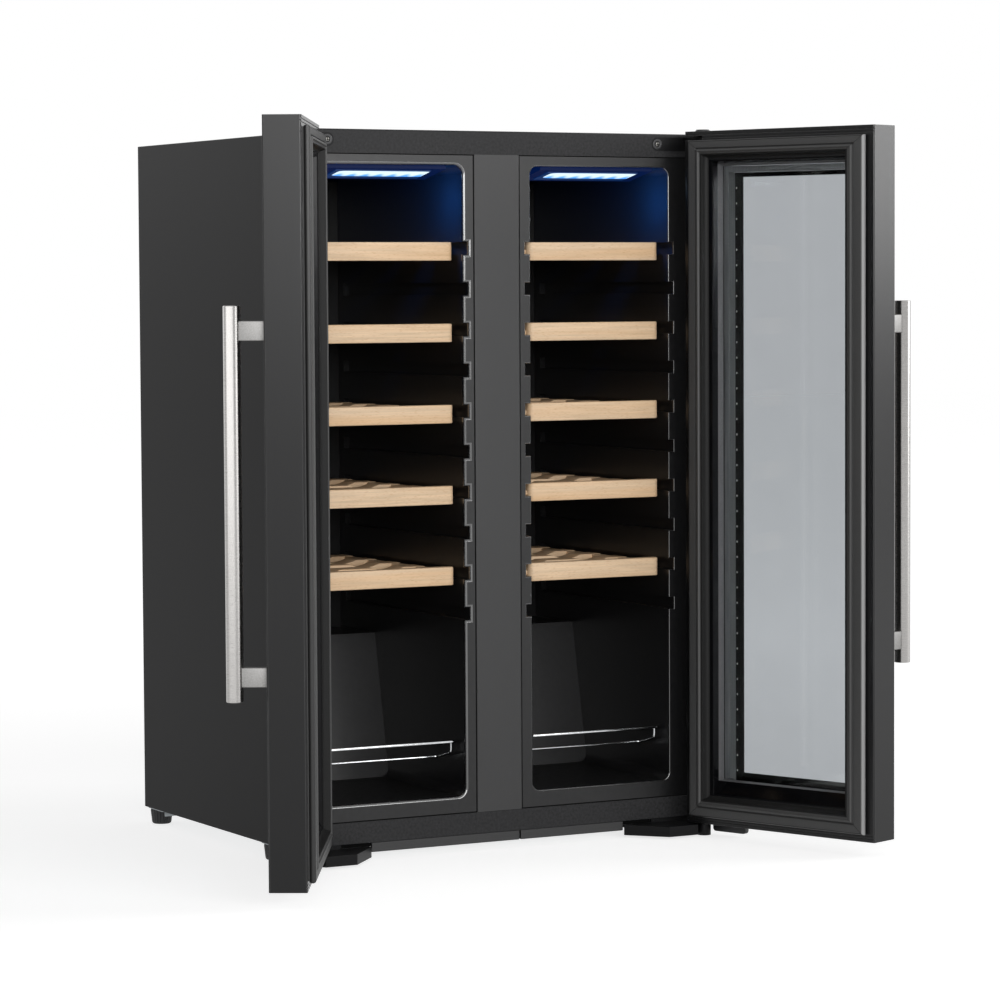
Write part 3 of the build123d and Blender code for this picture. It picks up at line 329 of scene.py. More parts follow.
def add(tree, kind, settings=None, inputs=None):
    """Add a node: settings are its attributes, inputs are socket values or (node, output) links."""
    node = tree.nodes.new(kind)
    for key, value in (settings or {}).items():
        setattr(node, key, value)
    for key, value in (inputs or {}).items():
        if isinstance(value, tuple) and isinstance(value[0], bpy.types.Node):
            tree.links.new(value[0].outputs[value[1]], node.inputs[key])
        else:
            node.inputs[key].default_value = value
    return node


def shade(colour, gain):
    """A colour made darker or lighter."""
    return tuple(min(1.0, c * gain) for c in colour)


def pair(colour, dark, pale):
    """Two tones of one colour."""
    return shade(colour, dark), shade(colour, pale)


def rgba(colour, gain=1.0):
    """Linear colour with a gain, as a four-number socket value."""
    return shade(colour, gain) + (1.0,)


def start(name, sockets):
    """A material with one principled shader, its even values set on the shader itself."""
    made = bpy.data.materials.new(name)
    made.use_nodes = True
    tree = made.node_tree
    tree.nodes.clear()
    shader = add(tree, "ShaderNodeBsdfPrincipled", inputs=sockets)
    add(tree, "ShaderNodeOutputMaterial", inputs={"Surface": (shader, "BSDF")})
    return made, tree, shader


def grained(name, tones, size, rough, relief=0.0, stretch=(1, 1, 1), source="Object", **sockets):
    """Two tones, two roughnesses and a relief that follow one noise whose grain has a real size (mm)."""
    made, tree, shader = start(name, sockets)
    if source == "Object":
        place = (add(tree, "ShaderNodeTexCoord"), "Object")
    else:
        place = (add(tree, "ShaderNodeAttribute", {"attribute_name": source}), "Vector")
    place = (add(tree, "ShaderNodeMapping", inputs={"Vector": place, "Scale": stretch}), "Vector")
    grain = {"Vector": place, "Scale": 1 / (size * MM), "Detail": 4.0, "Roughness": 0.6}
    noise = add(tree, "ShaderNodeTexNoise", inputs=grain)
    span = {"Value": (noise, "Fac"), "From Min": 0.3, "From Max": 0.7}
    spread = add(tree, "ShaderNodeMapRange", inputs=span)
    ends = {0: (spread, "Result"), 6: rgba(tones[0]), 7: rgba(tones[1])}
    tone = add(tree, "ShaderNodeMix", COLOUR_MIX, ends)
    range_of_gloss = {"Value": (spread, "Result"), "To Min": rough[0], "To Max": rough[1]}
    gloss = add(tree, "ShaderNodeMapRange", inputs=range_of_gloss)
    tree.links.new(tone.outputs[2], shader.inputs["Base Color"])
    tree.links.new(gloss.outputs["Result"], shader.inputs["Roughness"])
    if relief:
        height = {"Height": (spread, "Result"), "Strength": 1.0, "Distance": relief * MM}
        bump = add(tree, "ShaderNodeBump", inputs=height)
        tree.links.new(bump.outputs["Normal"], shader.inputs["Normal"])
    return made


def powder_coat(colours):
    """Satin powder coat on sheet steel: a faint orange peel softens what it reflects."""
    tones = pair(colours.paint, 0.85, 1.2)
    return grained("satin_powder_coat", tones, 1.6, (0.36, 0.44), 0.02, **{"Specular IOR Level": 0.05})


def textured_abs(colours):
    """Spark-textured black ABS: a fine speckle that breaks the shine."""
    return grained("textured_abs", pair(colours.trim, 0.7, 1.5), 0.7, (0.4, 0.55), 0.03)


def speckled_abs(colours):
    """Coarse spark texture of the strips: pale specks, 3 mm across, on a dull ground."""
    tones = pair(colours.trim, 0.5, 3.0)
    return grained("speckled_abs", tones, 3.0, (0.5, 0.62), 0.05, **{"Specular IOR Level": 0.22})


def formed_polystyrene(colours):
    """Vacuum-formed black polystyrene: smooth and slightly wavy, half glossy."""
    tones = pair(colours.trim, 0.8, 1.1)
    return grained("formed_polystyrene", tones, 6.0, (0.28, 0.36), 0.02, **{"Specular IOR Level": 0.36})


def door_coat(colours):
    """Satin black coat on the folded door skin: smooth enough to mirror the room as a soft ramp."""
    tones = pair(colours.door, 0.98, 1.02)
    return grained("satin_door_coat", tones, 6.0, (0.255, 0.27), **{"Specular IOR Level": 0.27})


def soft_pvc(colours):
    """Extruded soft PVC: matt, with fine drawn lines along the seal."""
    return grained("soft_pvc", pair(colours.gasket, 0.9, 1.12), 1.2, (0.5, 0.6), 0.01)


def painted_pvc_tone(name, colours, gain, rough=(0.4, 0.5), shine=0.5):
    """The seal's soft PVC in a painted tone: darker copies paint shade on its beads and its skirt, a much
    lighter one paints light on one strip.
    """
    tones = pair(colours.gasket, 0.94 * gain, 1.06 * gain)
    return grained(name, tones, 1.2, rough, **{"Specular IOR Level": shine})


def brushed_stainless(colours, sizes):
    """Brushed stainless steel: fine lines round the bar, which draw its highlights out along it."""
    tones = pair(colours.steel, 0.82, 1.08)
    line = sizes.steel_brush / MM
    metal = {"Metallic": 1.0, "Anisotropic": 0.8, "Anisotropic Rotation": 0.25}
    return grained("brushed_stainless", tones, line, (0.24, 0.36), 0.0, (1, 0.05, 0.05), "grain", **metal)


def beech(colours, sizes):
    """Planed beech: pale growth lines along each bar, crossed by short dark flecks."""
    made, tree, shader = start("planed_beech", {"Specular IOR Level": 0.35})
    place = (add(tree, "ShaderNodeAttribute", {"attribute_name": "grain"}), "Vector")
    line_scale = 1 / sizes.beech_grain
    rows = (add(tree, "ShaderNodeMapping", inputs={"Vector": place, "Scale": (0.035, 1, 1)}), "Vector")
    lines = {"Vector": rows, "Scale": line_scale, "Detail": 5.0, "Distortion": 0.4}
    growth = add(tree, "ShaderNodeTexNoise", inputs=lines)
    broad = add(tree, "ShaderNodeTexNoise", inputs={"Vector": rows, "Scale": line_scale / 6})
    # Flecks are about 0.5 mm wide and 5 mm long: the middles of cells that are ten times as long as wide
    fleck_rows = (add(tree, "ShaderNodeMapping", inputs={"Vector": place, "Scale": (0.1, 1, 1)}), "Vector")
    fleck = add(tree, "ShaderNodeTexVoronoi", inputs={"Vector": fleck_rows, "Scale": 1 / (0.9 * MM)})
    middle = {"From Min": 0.12, "From Max": 0.3, "To Min": 0.55, "To Max": 0.0}
    mark = add(tree, "ShaderNodeMapRange", inputs={"Value": (fleck, "Distance"), **middle})
    span = {"Value": (growth, "Fac"), "From Min": 0.3, "From Max": 0.7}
    spread = add(tree, "ShaderNodeMapRange", inputs=span)
    ends = {0: (spread, "Result"), 6: rgba(colours.beech, 0.84), 7: rgba(colours.beech, 1.07)}
    base = add(tree, "ShaderNodeMix", COLOUR_MIX, ends)
    warm, brown = rgba(linear("D9AE7E")), rgba(linear("B98A5C"))
    patches = {"Value": (broad, "Fac"), "From Min": 0.4, "From Max": 0.75, "To Max": 0.55}
    patch = add(tree, "ShaderNodeMapRange", inputs=patches)
    toned = add(tree, "ShaderNodeMix", COLOUR_MIX, {0: (patch, "Result"), 6: (base, 2), 7: warm})
    flecked = add(tree, "ShaderNodeMix", COLOUR_MIX, {0: (mark, "Result"), 6: (toned, 2), 7: brown})
    wax = {"Value": (spread, "Result"), "To Min": 0.5, "To Max": 0.4}
    gloss = add(tree, "ShaderNodeMapRange", inputs=wax)
    height = {"Height": (spread, "Result"), "Strength": 0.6, "Distance": 0.03 * MM}
    bump = add(tree, "ShaderNodeBump", inputs=height)
    tree.links.new(flecked.outputs[2], shader.inputs["Base Color"])
    tree.links.new(gloss.outputs["Result"], shader.inputs["Roughness"])
    tree.links.new(bump.outputs["Normal"], shader.inputs["Normal"])
    return made


def glass(name, tint):
    """Float glass: clear through, with a faint haze where it was wiped."""
    haze = (0.0, 0.02)
    sockets = {"Transmission Weight": 1.0, "IOR": 1.18}
    return grained(name, (shade(tint, 0.985), tint), 40.0, haze, **sockets)


def lamp_lens(colours):
    """Frosted lens over a row of diodes: near white, with a blue rim and a row of blue hills."""
    made, tree, shader = start("frosted_lens", {"Roughness": 0.5, "Emission Strength": 1.0})
    place = (add(tree, "ShaderNodeTexCoord"), "Object")
    split = add(tree, "ShaderNodeSeparateXYZ", inputs={"Vector": place})
    low, high = corners("lamp_lenses")
    width, depth = 2 * (high[0] - ZONE_X), high[1] - low[1]
    times, less, power = ({"operation": name} for name in ("MULTIPLY", "SUBTRACT", "POWER"))
    plus, times_plus = ({"operation": name} for name in ("ADD", "MULTIPLY_ADD"))
    # The bright core is a rounded patch a little right of the middle and near the front edge
    core_off, core_half = 0.036 * width, 0.49 * width
    core_y, core_deep = low[1] + 0.39 * depth, 0.35 * depth
    one = add(tree, "ShaderNodeMath", {"operation": "SIGN"}, {0: (split, "X")})
    home = add(tree, "ShaderNodeMath", times, {0: (one, 0), 1: ZONE_X * MM})
    local = add(tree, "ShaderNodeMath", less, {0: (split, "X"), 1: (home, 0)})
    along = add(tree, "ShaderNodeMath", less, {0: (local, 0), 1: core_off * MM})
    deep = add(tree, "ShaderNodeMath", less, {0: (split, "Y"), 1: core_y * MM})
    reach = add(tree, "ShaderNodeCombineXYZ", inputs={"X": (along, 0), "Y": (deep, 0)})
    scale = (1 / (core_half * MM), 1 / (core_deep * MM), 1)
    core = add(tree, "ShaderNodeMapping", inputs={"Vector": (reach, 0), "Scale": scale})
    parts = add(tree, "ShaderNodeSeparateXYZ", inputs={"Vector": (core, 0)})
    ends = add(tree, "ShaderNodeMath", power, {0: (parts, "X"), 1: 14.0})
    sides = add(tree, "ShaderNodeMath", power, {0: (parts, "Y"), 1: 6.0})
    edge = add(tree, "ShaderNodeMath", plus, {0: (ends, 0), 1: (sides, 0)})
    fade = {"From Min": 0.8, "From Max": 1.15, "To Min": 1.0, "To Max": 0.0}
    inside = add(tree, "ShaderNodeMapRange", inputs={"Value": (edge, 0), **fade})
    # Diodes, 17 mm apart, each leave a blue hill that rises from the rear edge
    turns = 2 * math.pi / (17 * MM)
    wave = add(tree, "ShaderNodeMath", times, {0: (along, 0), 1: turns})
    ripple = add(tree, "ShaderNodeMath", {"operation": "COSINE"}, {0: (wave, 0)})
    top = add(tree, "ShaderNodeMath", times_plus, {0: (ripple, 0), 1: 0.2, 2: -0.22})
    rise = add(tree, "ShaderNodeMath", times_plus, {0: (parts, "Y"), 1: 0.5, 2: (top, 0)})
    hill = add(tree, "ShaderNodeMapRange", inputs={"Value": (rise, 0), "From Min": -0.2, "From Max": 0.25})
    white, blue, rim_blue = rgba(linear("DDF3FF")), rgba(linear("5AA8FF")), rgba(colours.lamp, 0.09)
    bright = add(tree, "ShaderNodeMix", COLOUR_MIX, {0: (hill, "Result"), 6: white, 7: blue})
    tone = add(tree, "ShaderNodeMix", COLOUR_MIX, {0: (inside, "Result"), 6: rim_blue, 7: (bright, 2)})
    tree.links.new(tone.outputs[2], shader.inputs["Emission Color"])
    tree.links.new(tone.outputs[2], shader.inputs["Base Color"])
    return made


# Extra shine of a coat or a skin that is pulled thin over an edge
THIN_COAT = {"Coat Weight": 1.0, "Coat IOR": 1.85, "Coat Roughness": 0.12}


def plain_finishes():
    """Finishes of the hidden and small parts: tones, grain (mm), roughness range, relief (mm)."""
    leak = {"Specular IOR Level": 0.1, "Emission Color": rgba(linear("1450C8")), "Emission Strength": 0.09}
    return {
        # Hot-dip galvanised sheet: crystal spangle under a grey sheen
        "galvanised_steel": (("868A8D", "979B9D"), 7.0, (0.38, 0.5), 0.0, {"Metallic": 1.0}),
        # Rigid foam: dull cream cells
        "polyurethane_foam": (("CFC29A", "E3D8B6"), 2.0, (0.85, 0.95), 0.2, {}),
        # Rolled aluminium: cool grey with a soft sheen
        "rolled_aluminium": (("A9ACAE", "C4C7C9"), 3.0, (0.3, 0.42), 0.0, {"Metallic": 1.0}),
        # Black stove enamel on the compressor shell
        "stove_enamel": (("0E0E0F", "18181A"), 4.0, (0.22, 0.32), 0.01, {}),
        # Moulded nitrile rubber: dull and slightly bloomed
        "nitrile_rubber": (("171717", "232323"), 1.0, (0.65, 0.8), 0.02, {}),
        # Drawn copper tube: warm metal with a darker tarnish
        "drawn_copper": (("9C5A34", "C57E55"), 12.0, (0.25, 0.45), 0.0, {"Metallic": 1.0}),
        # Grey polypropylene, moulded with a light texture
        "grey_polypropylene": (("5E6062", "707375"), 1.2, (0.45, 0.55), 0.02, {}),
        # Black flame-proof ABS of the control box and the inlet
        "black_abs_box": (("141415", "1F1F21"), 0.9, (0.4, 0.5), 0.02, {}),
        # Black electrophoretic coat on pressed steel
        "coated_hinge_steel": (("0C0C0D", "151516"), 1.2, (0.34, 0.46), 0.01, {"Specular IOR Level": 0.12}),
        # Bright chrome plate on drawn wire
        "chrome_plate": (("C9CBCD", "E4E6E8"), 5.0, (0.05, 0.12), 0.0, {"Metallic": 1.0}),
        # Glass-filled black nylon: fans, feet and hinge fittings
        "black_nylon": (("131314", "202022"), 0.8, (0.42, 0.55), 0.02, {}),
        # Gloss black ABS of the door's inner surround: it mirrors what stands near
        "gloss_black_abs": (("08080A", "0C0C0E"), 8.0, (0.1, 0.15), 0.0, {"Specular IOR Level": 0.14}),
        # Zinc-plated screw: bright and slightly yellow
        "zinc_plate": (("6E6C68", "868480"), 1.0, (0.3, 0.42), 0.0, {"Metallic": 1.0}),
        # Satin cast zinc of the handle posts: duller than the brushed bar
        "satin_cast_zinc": (("7C7B79", "929190"), 1.5, (0.45, 0.55), 0.01, {"Metallic": 1.0}),
        # Navy glow of the lamp housing: its milky wall leaks a little of the lamp's light
        "milky_lamp_housing": (("04070D", "070B14"), 5.0, (0.5, 0.6), 0.0, leak),
        # Black ceramic print baked on the outer pane
        "ceramic_print": (("050506", "09090A"), 3.0, (0.03, 0.07), 0.0, {}),
        # Grey co-extruded glazing bead
        "grey_glazing_bead": (("4E4E50", "5C5C5E"), 2.0, (0.4, 0.5), 0.0, {}),
        # Anodised spacer bar: dark grey, with fine drawn lines along its height
        "drawn_spacer": (("55565A", "6A6B6D"), 1.6, (0.4, 0.5), 0.0, {"stretch": (1, 1, 0.02)}),
        # Satin coat over the folds of the door skin: pulled thin, so it shines more
        "folded_edge": (("1C1C1D", "232324"), 4.0, (0.2, 0.24), 0.0, THIN_COAT),
        # Glossy black lip, drawn thin and smooth where the liner turns the corner
        "drawn_lip": (("0E0E0F", "141415"), 6.0, (0.16, 0.2), 0.0, THIN_COAT),
        # Pale dots of desiccant behind the spacer's perforations
        "pale_desiccant": (("B8B8B6", "D2D2D0"), 0.6, (0.7, 0.8), 0.0, {}),
        # Painted shade: black strips in the seams between the trim pieces, where the gaps fall dark
        "painted_seam_shade": (("040404", "080808"), 1.0, (0.7, 0.8), 0.0, {"Specular IOR Level": 0.05}),
    }


def plain(name):
    """One of the plain finishes, made once."""
    if name in bpy.data.materials:
        return bpy.data.materials[name]
    tones, size, rough, relief, sockets = plain_finishes()[name]
    return grained(name, [linear(code) for code in tones], size, rough, relief, **sockets)


def link_light(light, names, state):
    """Let a light reach the named objects alone (INCLUDE), or all but them (EXCLUDE)."""
    group = bpy.data.collections.new(f"{light.name}_{state.lower()}")
    for name in names:
        group.objects.link(bpy.data.objects[name])
    for entry in group.collection_objects:
        entry.light_linking.link_state = state
    light.light_linking.receiver_collection = group


# Operators: one for each group of pieces


class COOLER_OT_cabinet(bpy.types.Operator):
    """Finish the steel cabinet, the trim and the liners"""

    bl_idname = "cooler.cabinet"
    bl_label = "Cabinet"

    def execute(self, context):
        colours = context.scene.cooler_colours
        paint = powder_coat(colours)
        dress(["side_panel_left", "side_panel_right", "top_panel"], paint, 0.4)
        zinc = plain("galvanised_steel")
        dress(["back_panel", "base_pan", "compressor_plate", "rear_grille"], zinc)
        dress(["insulation_foam"], plain("polyurethane_foam"))
        trim = textured_abs(colours)
        dress(["mullion_cover", "kick_plates"], trim, 0.8)
        dress(["front_top_strip", "front_bottom_strip"], speckled_abs(colours), 0.8)
        liner = formed_polystyrene(colours)
        dress(["liner_left", "liner_right"], liner)
        for side in SIDES:
            self.round_lip(NODES[f"liner_{side}"])
        dress(["air_panel_left", "air_panel_right"], liner, 0.4)
        self.seams()
        return {"FINISHED"}

    @staticmethod
    def round_lip(node):
        """Round the edge where the flange turns into the cavity, slot mouths included."""
        places = np.empty(len(node.data.vertices) * 3)
        node.data.vertices.foreach_get("co", places)
        x, y, z = (places.reshape(-1, 3) / MM).T
        low, high = corners(node.name)
        slot, border, level = 9, 12, 0.05
        in_x = np.abs(np.abs(x) - ZONE_X) < ZONE_HALF + slot
        in_z = (z > low[2] + border) & (z < high[2] - border)
        lip = np.flatnonzero(in_x & in_z & (np.abs(y - y.min()) < level))
        group = node.vertex_groups.new(name="lip")
        group.add(lip.tolist(), 1.0, "ADD")
        weld(node)
        flat = node.modifiers.new("flat faces", "DECIMATE")
        flat.decimate_type = "DISSOLVE"
        flat.angle_limit = math.radians(0.5)
        node.data.materials.append(plain("drawn_lip"))
        bevel = node.modifiers.new("rounded lip", "BEVEL")
        bevel.material = 1
        bevel.limit_method = "VGROUP"
        bevel.vertex_group = "lip"
        bevel.width = LIP_ROUND * MM
        bevel.segments = 5
        bevel.harden_normals = True

    @staticmethod
    def seams():
        """Painted shade: black strips in the seams round the mullion cover, at the strips and behind the
        kick plates.
        """
        wide, proud, sunk, soft, inset = 1.1, 0.25, 0.2, 0.1, 14
        flange = corners("liner_left")[0][1]
        low, high = corners("mullion_cover")
        side_low, side_high = corners("side_panel_left")[0][0], corners("side_panel_right")[1][0]
        parts = []
        for x in (low[0] - wide, high[0]):
            parts.append(slab((x, flange - proud, low[2]), (x + wide, flange + sunk, high[2]), soft))
        for z in (low[2], high[2] - wide):
            for x0, x1 in ((side_low + inset, low[0]), (high[0], side_high - inset)):
                parts.append(slab((x0, flange - proud, z), (x1, flange + sunk, z + wide), soft))
        # A black strip of painted shade closes the split between the kick plates and runs on over the hinge
        # brackets
        kick_low, kick_high = corners("kick_plates")
        back, over, wing, thick, lift, clear = kick_high[1], 15.7, 38.0, 1.2, 0.4, 0.1
        for x0, x1, z in (
            (kick_low[0], kick_high[0], kick_low[2] + lift),
            (kick_low[0] - wing, kick_low[0], over),
            (kick_high[0], kick_high[0] + wing, over),
        ):
            parts.append(slab((x0, back, z), (x1, back + thick, kick_high[2] - clear), soft))
        piece("painted_seam_shadows", parts, plain("painted_seam_shade"), "cabinet")


class COOLER_OT_lamps(bpy.types.Operator):
    """Light the lenses of the ceiling lamps"""

    bl_idname = "cooler.lamps"
    bl_label = "Lamps"

    def execute(self, context):
        scene = context.scene
        dress(["lamp_lenses"], lamp_lens(scene.cooler_colours))
        dress(["lamp_housings"], plain("milky_lamp_housing"))
        # A small glow beside each end of a lamp reaches the liners alone
        lens_z = corners("lamp_lenses")[0][2]
        soft, inward, behind, under = 12, 42, 24, 26
        for side, hand in SIDES.items():
            for end in (-1, 1):
                lamp = bpy.data.lights.new(f"lamp_{side}", "POINT")
                lamp.shadow_soft_size = soft * MM
                lamp.color = scene.cooler_colours.lamp
                lamp.energy = scene.cooler_stage.glow
                made = bpy.data.objects.new(f"lamp_{side}", lamp)
                x = hand * ZONE_X + end * (ZONE_HALF - inward)
                made.location = Vector((x, FRONT + behind, lens_z - under)) * MM
                made.visible_camera = False
                made.visible_glossy = False
                scene.collection.objects.link(made)
                link_light(made, ["liner_left", "liner_right"], "INCLUDE")
        return {"FINISHED"}


class COOLER_OT_cooling(bpy.types.Operator):
    """Finish the cold air side and the compressor bay"""

    bl_idname = "cooler.cooling"
    bl_label = "Cooling parts"

    def execute(self, context):
        finishes = {
            "rolled_aluminium": ["cold_plates"],
            "stove_enamel": ["compressor"],
            "nitrile_rubber": ["compressor_mounts"],
            "drawn_copper": ["condenser_coil"],
            "grey_polypropylene": ["drip_tray"],
            "black_abs_box": ["control_box", "power_inlet"],
            "black_nylon": ["fan_rotor_left", "fan_rotor_right"],
        }
        for name, nodes in finishes.items():
            dress(nodes, plain(name))
        return {"FINISHED"}


class COOLER_OT_doors(bpy.types.Operator):
    """Finish the door frames, panes, spacers, surrounds and hinges"""

    bl_idname = "cooler.doors"
    bl_label = "Doors"

    def execute(self, context):
        colours = context.scene.cooler_colours
        coat = door_coat(colours)
        smoke = glass("smoked_float_glass", colours.smoke)
        clear = glass("clear_float_glass", linear("F6FAF8"))
        for side in SIDES:
            dress([f"door_{side}_frame"], coat, 1.0, plain("folded_edge"))
            dress([f"door_{side}_outer_glass"], smoke)
            dress([f"door_{side}_inner_glass"], clear)
            dress([f"door_{side}_glass_spacer"], plain("drawn_spacer"))
            dress([f"door_{side}_hinge_fittings"], plain("black_nylon"), 0.3)
            self.glazing(side)
        dress(["top_hinges", "bottom_hinges"], plain("coated_hinge_steel"), 0.4)
        return {"FINISHED"}

    @staticmethod
    def glazing(side):
        """Inner surround, its grey bead, the print on the outer pane and the spacer's pale dots."""
        body = f"door_{side}"
        face, sill, pane, print_v, print_top = DOOR_V[0], -8.5, 0.95, 16.8, 16.95
        seat, margin, inner = (34.4,) * 3, (48.2,) * 3, (60.5, 53.5, 60.0)
        # Rows of depth and inset at the sides, the top and the bottom
        moulding = [(face, *seat), (face, 40.2, 35.4, 36.4), (face + 0.3, 40.8, 35.8, 37.0)]
        moulding += [(face + 1.2, 41.0, 36.0, 38.0), (sill, 41.4, 38.0, 51.5), (sill, *seat)]
        bead = [(sill, *seat), (sill, 41.6, 38.2, 51.7), (sill + 0.9, 42.0, 38.6, 52.0)]
        bead += [(pane, 42.4, 40.6, 52.5), (pane, *seat)]
        band = [(print_v, *margin), (print_v, *inner), (print_top, *inner), (print_top, *margin)]
        made = (
            ("glossy_surround", moulding, "gloss_black_abs", "surround_plastic", [f"{body}_surround"]),
            ("glazing_bead", bead, "grey_glazing_bead", "surround_plastic", []),
            ("pane_print", band, "ceramic_print", "smoke_glass", []),
        )
        for name, rows, finish, slot, stands_for in made:
            part = in_door(side, rim([(row[0], row[1], *row[1:]) for row in rows]))
            piece(f"{name}_{side}", [part], plain(finish), body, stands_for)
        half, tall, column, first, last = 0.7, 1.12, 50.5, 62, 56
        heights = np.arange(DOOR_Z[0] + first, DOOR_Z[1] - last, SPACER_DOT)
        dots = []
        for u in (DOOR_U[0] + column, DOOR_U[1] - column):
            for z in heights:
                low = (u - half, print_v - 0.12, z - tall)
                high = (u + half, print_v - 0.02, z + tall)
                dots.append(in_door(side, slab(low, high, 0.04, 1, (0.6,) * 4)))
        piece(f"spacer_dots_{side}", dots, plain("pale_desiccant"), body)


class COOLER_OT_gaskets(bpy.types.Operator):
    """Make the ribbed, mitred door gaskets"""

    bl_idname = "cooler.gaskets"
    bl_label = "Gaskets"

    def execute(self, context):
        colours = context.scene.cooler_colours
        dark = soft_pvc(colours)
        # Painted shade: a darker copy of the seal's PVC for the beads and a near-black one for the inner
        # skirt
        shaded_bead = painted_pvc_tone("shade_painted_bead_pvc", colours, 0.45, (0.28, 0.34), 0.35)
        shaded_skirt = painted_pvc_tone("shade_painted_skirt_pvc", colours, 0.3, shine=0.12)
        pale = painted_pvc_tone("light_painted_bead_pvc", colours, 6.5)
        # Run from the outer edge and height over the door's face: foot, flat lip and ridge, then skirt
        body = [(2.0, 0), (2.0, 7.4), (2.6, 8.2), (10.4, 8.4), (11.2, 8.2), (11.7, 7.1), (12.4, 6.7)]
        body += [(13.0, 7.1), (13.4, 9.2), (14.1, 9.8), (15.2, 10), (16.4, 9.8), (17.0, 9.0), (17.8, 8.5)]
        body += [(19.2, 8.5), (19.2, 0)]
        skirt = [(19.2, 0), (19.2, 8.5), (20.2, 8.7), (21.0, 8.3), (21.6, 6.9), (22.2, 4.8), (23.1, 2.8)]
        skirt += [(24.4, 1.5), (26, 0.9), (26, 0)]
        turn = np.radians(np.linspace(-70, 70, 9))
        bead = [(2.2 - 2.2 * math.cos(a), 4.7 + 3.5 * math.sin(a)) for a in turn]
        bead += [(2.4, 7.9), (2.4, 1.5)]
        for side in SIDES:
            door = f"door_{side}"
            runs = self.runs(side, body)
            piece(f"ribbed_gasket_{side}", runs, dark, door, [f"{door}_gasket"], 40)
            skirts = self.runs(side, skirt)
            piece(f"gasket_skirt_{side}", skirts, shaded_skirt, door, sharp=40)
            beads = self.runs(side, bead)
            if side == "right":
                # The bead along the right door's free side is painted light: a much lighter copy of the
                # seal's PVC
                piece("painted_light_strip", [beads.pop(1)], pale, door, sharp=40)
            piece(f"gasket_bead_{side}", beads, shaded_bead, door, sharp=40)
        return {"FINISHED"}

    @staticmethod
    def runs(side, profile):
        """Four mitred lengths of a profile, which is narrower and lies further out at the top."""
        rows = []
        for run, height in profile:
            insets = [first + run / GASKET_WIDE * (last - first) for first, last in GASKET_REACH]
            rows.append((DOOR_V[0] - height, *insets))
        return [in_door(side, length) for length in mitred(rows, MITRE_GAP)]


class COOLER_OT_handles(bpy.types.Operator):
    """Make the brushed handle bars and their posts"""

    bl_idname = "cooler.handles"
    bl_label = "Handles"

    def execute(self, context):
        scene = context.scene
        finish = brushed_stainless(scene.cooler_colours, scene.cooler_sizes)
        low, high = corners("door_left_handle")
        radius, edge, length = 9.25, 0.9, high[2] - low[2]
        bar_inset, stand_off = 14, 34.4
        bar_u, bar_v = DOOR_U[1] - bar_inset, DOOR_V[1] + stand_off
        post_in, post_half, post_tall, post_edge = 26.3, 5, 10.25, 0.8
        cast = plain("satin_cast_zinc")
        turn = np.linspace(0, math.pi / 2, 5)
        foot = np.stack([radius - edge + edge * np.sin(turn), edge * (1 - np.cos(turn))], -1)
        head = np.stack([foot[::-1, 0], length - foot[::-1, 1]], -1)
        profile = np.concatenate([foot, head])
        for side in SIDES:
            bar = in_door(side, turned(profile, (bar_u, bar_v, low[2]), 64))
            posts = []
            for end in (post_in, length - post_in):
                middle = low[2] + end
                foot_end = (bar_u - post_half, DOOR_V[1], middle - post_tall)
                bar_end = (bar_u + post_half, bar_v, middle + post_tall)
                posts.append(in_door(side, slab(foot_end, bar_end, post_edge, 1, length_axis=1)))
            door = f"door_{side}"
            node = f"{door}_handle"
            piece(f"bar_handle_{side}", [bar], finish, door, [node])
            piece(f"handle_posts_{side}", posts, cast, door, [node])
        return {"FINISHED"}


class COOLER_OT_feet(bpy.types.Operator):
    """Make the ribbed levelling feet"""

    bl_idname = "cooler.feet"
    bl_label = "Feet"

    def execute(self, context):
        ribs = context.scene.cooler_sizes.foot_ribs
        finish = plain("black_nylon")
        plates = []
        # Height, radius and rib depth up the foot, from the narrow sole to the wide top
        rows = [(0, 9.8, 0), (0.4, 10.6, 0.1), (1.2, 11.0, 0.4), (2.4, 11.2, 0.6), (10, 12.1, 0.6)]
        rows += [(15.8, 12.8, 0.6), (17.0, 12.9, 0.4), (17.6, 12.6, 0.1), (17.9, 12.2, 0)]
        rows += [(17.9, 4.2, 0), (18.1, 4, 0), (33, 4, 0), (33.7, 3.4, 0)]
        height, radius, rib = np.array(rows, dtype=float).T
        angle = np.linspace(0, 2 * math.pi, 6 * ribs, endpoint=False)
        swell = np.clip(1.6 * np.cos(ribs * angle), -1, 1)
        reach = radius[:, None] + rib[:, None] * swell[None]
        levels = np.repeat(height[:, None], len(angle), 1)
        tab_half, tab_in, tab_thick, tab_z = 10, 0.6, 1.2, (12.6, 18.6)
        for end, ahead in (("front", 22), ("rear", 34)):
            for side in SIDES:
                name = f"foot_{end}_{side}"
                low, high = corners(name)
                x, y = (low[:2] + high[:2]) / 2
                rings = np.stack([x + reach * np.cos(angle), y + reach * np.sin(angle), levels], -1)
                piece(f"ribbed_{name}", [surface(rings)], finish, name, [name])
                plates.append(self.plate(x, y, ahead))
                if end == "rear":
                    # The rear plates are folded down at their front edge
                    tab = y - ahead + tab_in
                    fold_low = (x - tab_half, tab, tab_z[0])
                    plates.append(slab(fold_low, (x + tab_half, tab + tab_thick, tab_z[1]), 0.3))
        piece("foot_plates", plates, plain("galvanised_steel"), "cabinet")
        return {"FINISHED"}

    @staticmethod
    def plate(x, y, ahead):
        """Rounded plate over a foot, with a round hole for the stem: one loop outside, one inside."""
        low, high, hole, half, corner = 18.2, 19.9, 5.0, 13, 4
        outer = outline((x - half, y - ahead), (x + half, y + half), (corner,) * 4, [0.0], 12)[0]
        away = outer - (x, y)
        inner = (x, y) + hole * away / np.linalg.norm(away, axis=1)[:, None]
        loops = ((outer, low), (inner, low), (inner, high), (outer, high))
        rings = [np.column_stack([flat, np.full(len(flat), z)]) for flat, z in loops]
        return surface(np.stack(rings), closed=True)


